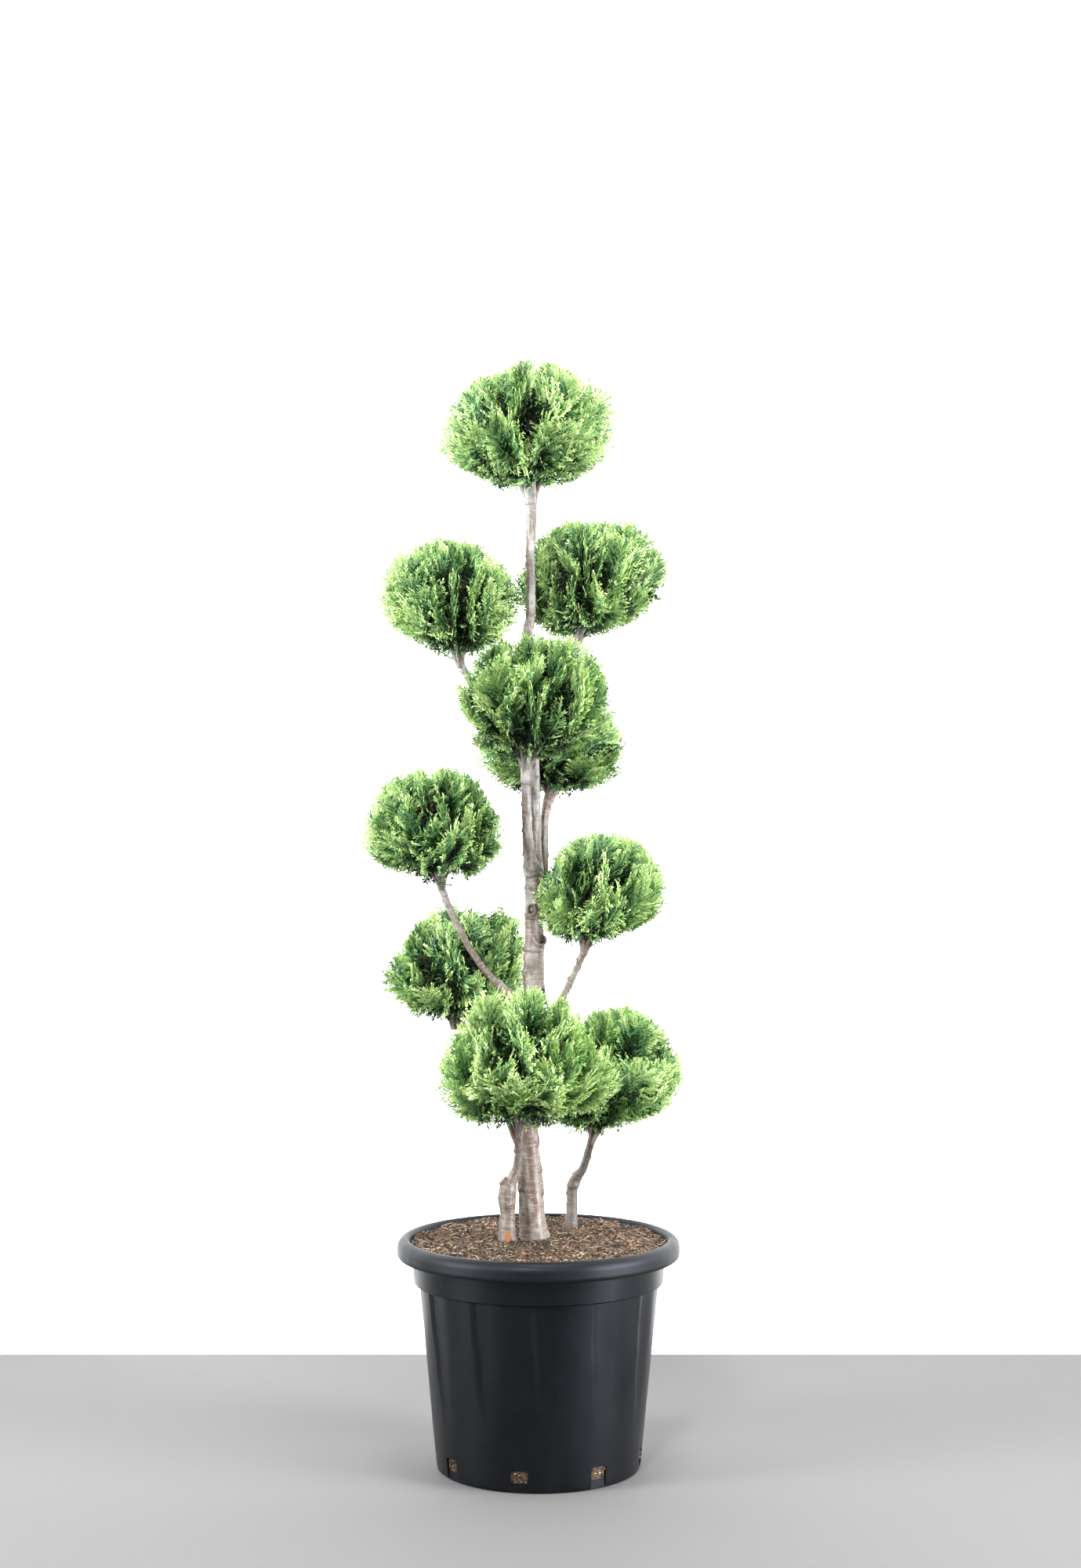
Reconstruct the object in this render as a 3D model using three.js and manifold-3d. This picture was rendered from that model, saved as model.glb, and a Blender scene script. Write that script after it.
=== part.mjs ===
// A potted golden cypress clipped into clouds, about 1.53 m tall, in a round 25 litre nursery pot.
//
// Units are millimetres, +Z is up and the front of the plant faces -Y. The origin is the centre of the
// pot's flat underside. The wood is a main trunk, which runs from the soil to the top cloud, two thinner
// stems that rise from the soil beside it, and seven boughs that leave the trunk. Each of them carries
// one clipped cloud of foliage, a dome with a cone-shaped underside that narrows to the bough's end.

import * as THREE from "three";
import { mergeVertices } from "three/addons/utils/BufferGeometryUtils.js";
import Module from "manifold-3d";

const wasm = await Module();
wasm.setup();

// Clearance kept between neighbouring pieces.
const GAP = 0.3;

// The pot.
const POT_HEIGHT = 317;
const POT_BASE_RADIUS = 141;
const POT_BODY_TOP_RADIUS = 166;
const POT_WALL = 2.8;
const POT_FLOOR = 4;
const COLLAR_BOTTOM = 256;
const COLLAR_TOP = 289;
const COLLAR_BOTTOM_RADIUS = 172.5;
const COLLAR_TOP_RADIUS = 175;
const RIM_RADIUS = 195.5;
const RIM_INNER_RADIUS = 178.5;

// The pot's shallow upright flutes, which fade out towards the base.
const FLUTES = 12;
const FLUTE_DEPTH = 2;
const FLUTE_START = 40;
const FLUTE_TURN_DEG = -2.5;
const FLUTE_EDGE_DEG = 0.8;

// The drain holes round the foot of the pot, each with a shallow channel below it.
const DRAIN_HOLES = 8;
const DRAIN_TURN_DEG = -10.5;
const DRAIN_WIDTH = 24;
const DRAIN_BOTTOM = 13;
const DRAIN_TOP = 30.5;
const DRAIN_CORNER = 4;
const CHANNEL_DEPTH = 1.4;

// The soil, level in the middle where the stems stand.
const SOIL_LEVEL = 313.7;
const SOIL_EDGE_LEVEL = 309;
const SOIL_LEVEL_RADIUS = 112;
const GROUND = SOIL_LEVEL + GAP;

// Facets: sides round a limb, rings between two of its stations, and the grid of a cloud.
const TRUNK_SIDES = 12;
const BOUGH_SIDES = 8;
const RINGS_PER_STATION = 2;
const CLOUD_COLUMNS = 17;
const CLOUD_ROWS = 10;

const COLOURS = {
  pot: 0x23252a,
  soil: 0x4a3426,
  bark: 0x8c7b6c,
  foliage: 0x6fa544,
};

const radians = THREE.MathUtils.degToRad;

// Turns a closed geometry into a solid that can be cut and joined.
function solidOf(geometry) {
  const bare = new THREE.BufferGeometry();
  bare.setAttribute("position", geometry.getAttribute("position"));
  bare.setIndex(geometry.getIndex());
  const merged = mergeVertices(bare, 1e-4);
  return new wasm.Manifold(
    new wasm.Mesh({
      numProp: 3,
      vertProperties: new Float32Array(merged.attributes.position.array),
      triVerts: new Uint32Array(merged.index.array),
    }),
  );
}

// Turns a solid back into a geometry.
function geometryOf(solid) {
  const mesh = solid.getMesh();
  const geometry = new THREE.BufferGeometry();
  geometry.setAttribute("position", new THREE.BufferAttribute(new Float32Array(mesh.vertProperties), 3));
  geometry.setIndex(new THREE.BufferAttribute(new Uint32Array(mesh.triVerts), 1));
  geometry.computeVertexNormals();
  return geometry;
}

// A closed skin over a stack of rings, each a list of points in the same order, with a point at each end.
function skin(rings, first, last) {
  const points = [first, ...rings.flat(), last];
  const sides = rings[0].length;
  const faces = [];
  const at = (ring, side) => 1 + ring * sides + (side % sides);
  for (let side = 0; side < sides; side++) {
    faces.push(0, at(0, side + 1), at(0, side));
    for (let ring = 0; ring + 1 < rings.length; ring++) {
      faces.push(at(ring, side), at(ring, side + 1), at(ring + 1, side + 1));
      faces.push(at(ring, side), at(ring + 1, side + 1), at(ring + 1, side));
    }
    faces.push(points.length - 1, at(rings.length - 1, side), at(rings.length - 1, side + 1));
  }
  const geometry = new THREE.BufferGeometry();
  geometry.setAttribute("position", new THREE.Float32BufferAttribute(points.flatMap((p) => p.toArray()), 3));
  geometry.setIndex(faces);
  return geometry;
}

// A tapering limb through stations [x, y, z, radius]. grow makes it thicker and longer, as a cutter.
// With flatFoot its first ring is level, as a stem that is cut off at the ground.
function limb(stations, { sides = BOUGH_SIDES, fine = RINGS_PER_STATION, grow = 0, flatFoot = false } = {}) {
  const centreline = new THREE.CatmullRomCurve3(stations.map(([x, y, z]) => new THREE.Vector3(x, y, z)));
  const spans = stations.length - 1;
  const count = spans * fine;
  const up = new THREE.Vector3(0, 0, 1);
  let across = new THREE.Vector3(1, 0, 0);
  const rings = [];
  const centres = [];
  for (let ring = 0; ring <= count; ring++) {
    const share = ring / count;
    const along = flatFoot && ring === 0 ? up.clone() : centreline.getTangent(share);
    const centre = centreline.getPoint(share);
    if (ring === 0 && !flatFoot) centre.addScaledVector(along, -grow);
    if (ring === count) centre.addScaledVector(along, grow);
    across = across.clone().addScaledVector(along, -across.dot(along)).normalize();
    const beside = new THREE.Vector3().crossVectors(along, across);
    const span = Math.min(Math.floor(share * spans), spans - 1);
    const radius = THREE.MathUtils.lerp(stations[span][3], stations[span + 1][3], share * spans - span) + grow;
    centres.push(centre);
    rings.push(
      Array.from({ length: sides }, (_, side) => {
        const angle = (side / sides) * 2 * Math.PI;
        return centre
          .clone()
          .addScaledVector(across, radius * Math.cos(angle))
          .addScaledVector(beside, radius * Math.sin(angle));
      }),
    );
  }
  return solidOf(skin(rings, centres[0], centres[count]));
}

// The angles of the pot's corners: two at each edge of a flute, so that the edge is a narrow step.
const POT_ANGLES = Array.from({ length: FLUTES * 2 }, (_, edge) => {
  const angle = FLUTE_TURN_DEG + (edge * 180) / FLUTES;
  return [radians(angle - FLUTE_EDGE_DEG), radians(angle + FLUTE_EDGE_DEG)];
}).flat();

// A solid turned round the Z axis from a profile of [radius, z, flute depth], given from its foot on the
// axis round to its top on the axis. Angle 0 faces the front.
function turned(profile) {
  const rings = profile.map(([radius, z, depth = 0]) =>
    POT_ANGLES.map((angle, corner) => {
      const inFlute = Math.floor((corner + 1) / 2) % 2 === 1;
      const r = radius - (inFlute ? depth : 0);
      return new THREE.Vector3(r * Math.sin(angle), -r * Math.cos(angle), z);
    }),
  );
  const [foot, top] = [profile[0][1], profile[profile.length - 1][1]];
  return solidOf(skin(rings, new THREE.Vector3(0, 0, foot), new THREE.Vector3(0, 0, top)));
}

// The inner radius of the pot's wall at the body's foot, the collar and under the rim.
const INNER_FOOT_RADIUS = POT_BASE_RADIUS - POT_WALL;
const INNER_BODY_RADIUS = POT_BODY_TOP_RADIUS - POT_WALL - FLUTE_DEPTH;
const INNER_COLLAR_RADIUS = COLLAR_BOTTOM_RADIUS - POT_WALL;

function potOutside() {
  return turned([
    [POT_BASE_RADIUS - 2, 0],
    [POT_BASE_RADIUS, 2],
    [THREE.MathUtils.lerp(POT_BASE_RADIUS, POT_BODY_TOP_RADIUS, FLUTE_START / COLLAR_BOTTOM), FLUTE_START],
    [POT_BODY_TOP_RADIUS, COLLAR_BOTTOM - 1, FLUTE_DEPTH],
    [COLLAR_BOTTOM_RADIUS, COLLAR_BOTTOM],
    [COLLAR_TOP_RADIUS, COLLAR_TOP],
    [RIM_RADIUS - 4, COLLAR_TOP + 1],
    [RIM_RADIUS, COLLAR_TOP + 10],
    [RIM_RADIUS - 1, POT_HEIGHT - 9],
    [RIM_RADIUS - 7, POT_HEIGHT - 1],
    [RIM_INNER_RADIUS + 4, POT_HEIGHT],
  ]);
}

function potInside() {
  return turned([
    [INNER_FOOT_RADIUS, POT_FLOOR],
    [INNER_BODY_RADIUS, COLLAR_BOTTOM],
    [INNER_COLLAR_RADIUS, COLLAR_BOTTOM + 3],
    [INNER_COLLAR_RADIUS + 2, COLLAR_TOP],
    [RIM_INNER_RADIUS, POT_HEIGHT - 6],
    [RIM_INNER_RADIUS + 4, POT_HEIGHT + 1],
  ]);
}

// A block with rounded upright corners that reaches from the axis out through the wall at the front.
function outwardBlock(width, bottom, top, corner, inner, outer) {
  const outline = new THREE.Shape();
  const half = width / 2;
  outline.moveTo(-half, bottom);
  outline.lineTo(half, bottom);
  outline.lineTo(half, top - corner);
  outline.quadraticCurveTo(half, top, half - corner, top);
  outline.lineTo(corner - half, top);
  outline.quadraticCurveTo(-half, top, -half, top - corner);
  outline.closePath();
  const block = new THREE.ExtrudeGeometry(outline, {
    depth: outer - inner,
    bevelEnabled: false,
    curveSegments: 2,
  });
  block.rotateX(Math.PI / 2);
  block.translate(0, -inner, 0);
  block.deleteAttribute("normal");
  block.deleteAttribute("uv");
  const merged = mergeVertices(block, 1e-4);
  return solidOf(merged);
}

function makePot() {
  let pot = potOutside().subtract(potInside());
  const hole = outwardBlock(DRAIN_WIDTH, DRAIN_BOTTOM, DRAIN_TOP, DRAIN_CORNER, 100, 160);
  const channel = outwardBlock(
    DRAIN_WIDTH,
    -1,
    DRAIN_BOTTOM + 1,
    0.5,
    POT_BASE_RADIUS - CHANNEL_DEPTH - 0.6,
    160,
  );
  for (let i = 0; i < DRAIN_HOLES; i++) {
    const angle = DRAIN_TURN_DEG + (i * 360) / DRAIN_HOLES;
    pot = pot.subtract(hole.rotate([0, 0, angle])).subtract(channel.rotate([0, 0, angle]));
  }
  return pot;
}

function makeSoil() {
  return turned([
    [INNER_FOOT_RADIUS - GAP, POT_FLOOR + GAP],
    [INNER_BODY_RADIUS - GAP, COLLAR_BOTTOM],
    [INNER_COLLAR_RADIUS - GAP, COLLAR_BOTTOM + 3 + GAP],
    [INNER_COLLAR_RADIUS + 2 - GAP, COLLAR_TOP],
    [RIM_INNER_RADIUS - 2, SOIL_EDGE_LEVEL],
    [SOIL_LEVEL_RADIUS, SOIL_LEVEL],
  ]);
}

// The trunk, as stations [x, y, z, radius] from the root flare to the tip inside the top cloud. It swells
// where a bough leaves it at 835, and again just under the top cloud, where it divides into twigs.
const TRUNK = [
  [-6, -2, GROUND, 20],
  [-8, -2, 340, 17.8],
  [-11, -2, 390, 16.4],
  [-15.5, -1, 460, 15.2],
  [-12.5, 0, 565, 14.6],
  [-7, 0, 675, 14],
  [-6, 0, 770, 12.6],
  [-7, 2, 835, 11.8],
  [-5.5, 6, 880, 8.6],
  [-6, 8, 950, 7.9],
  [-10, 5, 1065, 7.5],
  [-15, 0, 1150, 7.4],
  [-10, 0, 1184, 6.3],
  [-11, 0, 1262, 6.2],
  [-9.5, 0, 1322, 6.6],
  [-12, 0, 1350, 9.6],
  [-14, 0, 1392, 5],
];

// The two stems that rise from the soil beside the trunk. The front one is an old thick stump with a
// thinner limb that goes on from it, and a spur on that limb.
const FRONT_STUMP = [
  [-42, -24, GROUND, 12.2],
  [-43.5, -24, 345, 10.4],
  [-45, -24, 382, 11.4],
  [-47, -24, 400, 9.6],
];
const FRONT_LIMB = [
  [-44, -24, 380, 7.6],
  [-37, -25, 403, 6.8],
  [-30.5, -30, 430, 5],
  [-28, -38, 457, 5.4],
  [-26, -47, 480, 6.4],
  [-24, -57, 512, 4],
];
const FRONT_SPUR = [
  [-29, -37, 450, 4.6],
  [-38, -43, 474, 4.4],
  [-45, -49, 496, 3.6],
];
const RIGHT_STEM = [
  [45.5, 80, GROUND, 8.8],
  [47, 80, 345, 7.3],
  [49, 80, 376, 7.9],
  [63, 76, 400, 5.8],
  [72, 70, 429, 5.3],
  [79, 63, 455, 6.4],
  [88, 55, 494, 4],
];

// The boughs that leave the trunk, from its axis to their ends inside their clouds. Each swells a little
// where it enters the cloud and divides.
const BOUGHS = {
  bough_lower_left: [
    [-13, 0, 530, 7],
    [-40, 18, 552, 6],
    [-78, 42, 580, 5.4],
    [-104, 55, 600, 5.2],
    [-120, 60, 618, 6.6],
    [-121, 62, 656, 4.2],
  ],
  bough_left: [
    [-9, 0, 622, 6.6],
    [-30, -4, 645, 5.8],
    [-70.5, -8, 681.5, 5.2],
    [-102, -10, 729, 4.8],
    [-131, -10, 792, 4.8],
    [-136, -10, 817, 7],
    [-140, -10, 852, 4.2],
  ],
  bough_right: [
    [-11, 0, 578, 6.5],
    [12, -8, 606, 5.2],
    [31, -14, 644, 4.6],
    [56.5, -24, 698.5, 4.3],
    [65, -28, 728, 6],
    [70, -30, 766, 3.8],
  ],
  bough_back_middle: [
    [-6, 2, 735, 7],
    [4, 14, 775, 6.2],
    [8, 25, 817, 5.6],
    [8, 36, 878, 5.3],
    [11, 48, 912, 6],
    [18, 64, 937, 7.6],
    [22, 82, 974, 4.5],
  ],
  bough_front_middle: [
    [-7, -2, 812, 8],
    [-12, -12, 850, 7.4],
    [-15.5, -17, 885, 6.9],
    [-17, -22, 940, 6.7],
    [-16, -32, 976, 8.6],
    [-14, -52, 1014, 5],
  ],
  bough_upper_left: [
    [-7, 8, 985, 6.6],
    [-30, 12, 1002, 5.8],
    [-64, 14, 1036, 5.2],
    [-101, 12, 1096, 4.9],
    [-112, 10, 1126, 7.4],
    [-119, 9, 1164, 4.2],
  ],
  bough_upper_right: [
    [-8, 6, 1028, 6.2],
    [10, 22, 1052, 5.4],
    [32, 40, 1092, 4.9],
    [49, 52, 1130, 5.2],
    [55, 57, 1152, 7.2],
    [62, 60, 1192, 4.2],
  ],
};

// The clouds: centre of the widest level, half widths across (X) and deep (Y), rise to the top and drop to
// the foot, where the bough enters at [x, y]. Fullness 1 gives a cone below the widest level and 3 gives a
// bowl. Lobes are [bearing, elevation, amount, spread]: bearing in
// degrees from +X towards +Y, amount as a share of the radius, spread in degrees.
const CLOUDS = {
  cloud_top: {
    centre: [-14, 0, 1424],
    half: [108, 100],
    rise: 101,
    drop: 72,
    foot: [-13, 0],
    fullness: 2.0,
    lobes: [
      [180, -6, 0.12, 22],
      [0, 12, 0.08, 24],
      [150, 40, -0.06, 25],
      [-70, 20, 0.06, 30],
      [100, 10, 0.08, 30],
      [20, -20, -0.07, 22],
    ],
  },
  cloud_upper_left: {
    centre: [-125, 10, 1209],
    half: [85, 82],
    rise: 73,
    drop: 87,
    foot: [-112, 10],
    fullness: 2.5,
    lobes: [
      [180, -18, 0.1, 25],
      [150, 45, 0.06, 22],
      [0, -5, 0.08, 25],
      [20, 50, -0.05, 25],
      [-80, 0, 0.08, 35],
      [80, 15, 0.06, 35],
    ],
  },
  cloud_upper_right: {
    centre: [79, 62, 1237],
    half: [94, 84],
    rise: 76,
    drop: 88,
    foot: [55, 57],
    fullness: 2.3,
    lobes: [
      [184, -14, 0.24, 24],
      [0, 4, 0.1, 22],
      [-60, 30, 0.06, 30],
      [40, 35, -0.06, 25],
      [100, 0, 0.07, 35],
      [-20, -35, 0.08, 25],
    ],
  },
  cloud_front_middle: {
    centre: [-7, -87, 1066],
    half: [98, 82],
    rise: 76,
    drop: 92,
    foot: [-16, -36],
    fullness: 2.5,
    lobes: [
      [180, -4, 0.08, 25],
      [0, -16, 0.1, 28],
      [25, 38, 0.06, 24],
      [200, 45, -0.05, 25],
      [-95, 10, 0.06, 35],
      [-50, -30, 0.06, 25],
    ],
  },
  cloud_back_middle: {
    centre: [22, 98, 994],
    half: [97, 82],
    rise: 72,
    drop: 68,
    foot: [18, 66],
    fullness: 2.4,
    lobes: [
      [0, -4, 0.07, 25],
      [180, -14, 0.08, 28],
      [90, 10, 0.08, 35],
      [60, 45, 0.05, 25],
      [130, 40, -0.06, 28],
    ],
  },
  cloud_left: {
    centre: [-145, -10, 887],
    half: [86, 84],
    rise: 79,
    drop: 77,
    foot: [-136, -10],
    fullness: 2.9,
    lobes: [
      [180, -2, 0.09, 25],
      [0, 8, 0.09, 24],
      [60, 45, -0.06, 25],
      [-100, 15, 0.06, 35],
      [95, 0, 0.07, 35],
      [210, -38, 0.08, 24],
    ],
  },
  cloud_right: {
    centre: [90, -30, 799],
    half: [80, 78],
    rise: 74,
    drop: 74,
    foot: [66, -29],
    fullness: 2.6,
    lobes: [
      [180, -8, 0.08, 25],
      [0, 4, 0.06, 24],
      [90, 20, 0.06, 35],
      [-60, 35, 0.05, 30],
      [150, 42, -0.06, 25],
    ],
  },
  cloud_lower_left: {
    centre: [-114, 64, 684],
    half: [88, 80],
    rise: 79,
    drop: 72,
    foot: [-121, 60],
    fullness: 2.9,
    lobes: [
      [180, -8, 0.09, 24],
      [20, 42, 0.2, 30],
      [120, 45, -0.07, 25],
      [90, 0, 0.08, 35],
      [215, -30, 0.06, 24],
    ],
  },
  cloud_front_low: {
    centre: [-18, -91, 560],
    half: [104, 84],
    rise: 102,
    drop: 84,
    foot: [-26, -52],
    fullness: 2.8,
    lobes: [
      [180, -6, 0.08, 24],
      [0, -8, 0.1, 26],
      [-40, 40, -0.07, 22],
      [100, 50, 0.04, 30],
      [-110, 10, 0.07, 30],
      [205, -38, 0.14, 26],
      [-20, -40, 0.1, 24],
    ],
  },
  cloud_right_low: {
    centre: [107, 52, 536],
    half: [87, 82],
    rise: 90,
    drop: 82,
    foot: [80, 61],
    fullness: 3.0,
    lobes: [
      [0, -4, 0.07, 24],
      [180, -40, 0.1, 24],
      [90, 15, 0.07, 35],
      [60, 45, 0.05, 28],
      [-45, 10, -0.06, 25],
    ],
  },
};

// How far, as a share of the radius, a cloud's surface stands out or in at a direction.
function unevenness(direction, lobes) {
  let share = 1;
  for (const [bearing, elevation, amount, spread] of lobes) {
    const [b, e] = [radians(bearing), radians(elevation)];
    const lobe = new THREE.Vector3(Math.cos(e) * Math.cos(b), Math.cos(e) * Math.sin(b), Math.sin(e));
    share += amount * Math.exp(-((direction.angleTo(lobe) / radians(spread)) ** 2));
  }
  return share;
}

// One cloud, from its foot up to its top: a dome on a rounded cone whose middle shifts towards the foot.
function cloud({ centre, half, rise, drop, foot, fullness, lobes }) {
  const [cx, cy, cz] = centre;
  const surface = (polar, bearing) => {
    const level = Math.sin(polar);
    const lower = Math.max(0, -level);
    const reach = level >= 0 ? Math.cos(polar) ** 0.9 : 1 - lower ** fullness;
    const direction = new THREE.Vector3(
      Math.cos(polar) * Math.cos(bearing),
      Math.cos(polar) * Math.sin(bearing),
      level,
    );
    const share = unevenness(direction, lobes);
    const shift = lower * lower * (3 - 2 * lower);
    return new THREE.Vector3(
      cx + (foot[0] - cx) * shift + half[0] * reach * share * Math.cos(bearing),
      cy + (foot[1] - cy) * shift + half[1] * reach * share * Math.sin(bearing),
      cz + (level >= 0 ? rise : drop) * level * share ** (level >= 0 ? 1 : 0.3),
    );
  };
  const rings = Array.from({ length: CLOUD_ROWS }, (_, row) => {
    const polar = -Math.PI / 2 + (Math.PI * (row + 1)) / (CLOUD_ROWS + 1);
    return Array.from({ length: CLOUD_COLUMNS }, (__, column) =>
      surface(polar, (column / CLOUD_COLUMNS) * 2 * Math.PI),
    );
  });
  return solidOf(skin(rings, surface(-Math.PI / 2, 0), surface(Math.PI / 2, 0)));
}

// The wood. Boughs are cut back to a gap outside the trunk.
const trunkOptions = { sides: TRUNK_SIDES, fine: 1, flatFoot: true };
const trunkCutter = limb(TRUNK, { ...trunkOptions, grow: GAP });
const wood = { trunk: limb(TRUNK, trunkOptions) };
const cutters = { trunk: trunkCutter };
for (const [name, stations] of Object.entries(BOUGHS)) {
  wood[name] = limb(stations).subtract(trunkCutter);
  cutters[name] = limb(stations, { grow: GAP });
}
wood.stem_right = limb(RIGHT_STEM, { flatFoot: true });
cutters.stem_right = limb(RIGHT_STEM, { grow: GAP, flatFoot: true });
const frontStem = (grow) =>
  limb(FRONT_STUMP, { fine: 1, grow, flatFoot: true })
    .add(limb(FRONT_LIMB, { grow }))
    .add(limb(FRONT_SPUR, { fine: 1, grow }));
wood.stem_front = frontStem(0);
cutters.stem_front = frontStem(GAP);

// The clouds, each cut round all the wood that enters or passes it.
const clouds = {};
for (const [name, shape] of Object.entries(CLOUDS)) {
  clouds[name] = Object.values(cutters).reduce((solid, cutter) => solid.subtract(cutter), cloud(shape));
}

const plant = new THREE.Group();

function addPiece(name, solid, colour, roughness) {
  const material = new THREE.MeshStandardMaterial({ color: colour, roughness, metalness: 0 });
  const mesh = new THREE.Mesh(geometryOf(solid), material);
  mesh.name = name;
  plant.add(mesh);
}

addPiece("pot", makePot(), COLOURS.pot, 0.5);
addPiece("soil", makeSoil(), COLOURS.soil, 0.95);
for (const [name, solid] of Object.entries(wood)) addPiece(name, solid, COLOURS.bark, 0.75);
for (const [name, solid] of Object.entries(clouds)) addPiece(name, solid, COLOURS.foliage, 0.7);

export default plant;
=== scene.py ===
"""A golden Lawson cypress clipped into clouds, in its black nursery pot.

Sizes in millimetres carry MM where they meet Blender, whose unit is the metre. The frame is the part's own:
the origin is the centre of the pot's underside, +Z is up and the front of the plant faces -Y.
"""

import math

import bpy
import numpy as np
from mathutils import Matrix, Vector, noise
from mathutils.bvhtree import BVHTree


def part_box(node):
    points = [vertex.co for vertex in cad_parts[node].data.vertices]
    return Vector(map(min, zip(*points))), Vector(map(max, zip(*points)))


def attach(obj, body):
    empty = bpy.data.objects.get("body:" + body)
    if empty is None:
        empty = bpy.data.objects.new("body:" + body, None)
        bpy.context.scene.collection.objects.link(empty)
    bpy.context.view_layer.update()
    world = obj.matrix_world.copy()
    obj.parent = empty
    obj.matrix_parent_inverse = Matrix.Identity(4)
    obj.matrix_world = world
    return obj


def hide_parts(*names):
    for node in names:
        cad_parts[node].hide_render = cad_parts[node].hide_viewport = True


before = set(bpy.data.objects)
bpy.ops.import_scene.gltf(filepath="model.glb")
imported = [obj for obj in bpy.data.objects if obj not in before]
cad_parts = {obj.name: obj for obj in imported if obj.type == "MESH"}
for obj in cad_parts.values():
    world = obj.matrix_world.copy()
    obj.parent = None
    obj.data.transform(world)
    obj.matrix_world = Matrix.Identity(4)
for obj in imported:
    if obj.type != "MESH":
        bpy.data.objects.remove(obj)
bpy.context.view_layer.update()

MM = 0.001

# The studio, in metres: how far behind the plant the paper hangs, its size and the floor's, and how bright
# the paper and the room are.
PAPER_BACK = 0.66
PAPER_HALF_WIDTH = 3.0
PAPER_HEIGHT = 6.0
FLOOR_HALF_WIDTH = 6.0
PAPER_GLOW = 0.8
WORLD_LIGHT = 0.24

# The camera: level, in front of the plant, as far off and as high as the pot's ellipses in the picture say.
CAMERA_PLACE = (2.7, -3400, 944)
CAMERA_LENS = 56.3
SENSOR = 36

# The pot.
POT_HEIGHT = 317
POT_BASE_RADIUS = 141
POT_BODY_RADIUS = 166
POT_WALL = 2.8
POT_FLOOR = 4
COLLAR_BOTTOM = 256
COLLAR_TOP = 289
COLLAR_BOTTOM_RADIUS = 172.5
COLLAR_TOP_RADIUS = 175
RIM_RADIUS = 195.5
RIM_INNER_RADIUS = 178.5
FLUTES = 12
FLUTE_DEPTH = 2.6
FLUTE_START = 50
FLUTE_TURN_DEG = -2.5
DRAIN_HOLES = 8
DRAIN_TURN_DEG = -10.5
DRAIN_WIDTH = 24
DRAIN_BOTTOM = 13
DRAIN_TOP = 30.5
CHANNEL_DEPTH = 1.4

# The soil: its level inside SOIL_LEVEL_RADIUS and at the pot's wall, its rise towards the back, its gap to
# the pot, the level where the stems start, and how many chips, fibres and bits in each drain hole it has.
SOIL_LEVEL = 313.7
SOIL_EDGE_LEVEL = 309
SOIL_LEVEL_RADIUS = 112
SOIL_RISE = 4
SOIL_GAP = 0.3
SOIL_TOP = 314
CHIPS = 4600
FIBRES = 1100
DRAIN_BITS = 34

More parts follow.
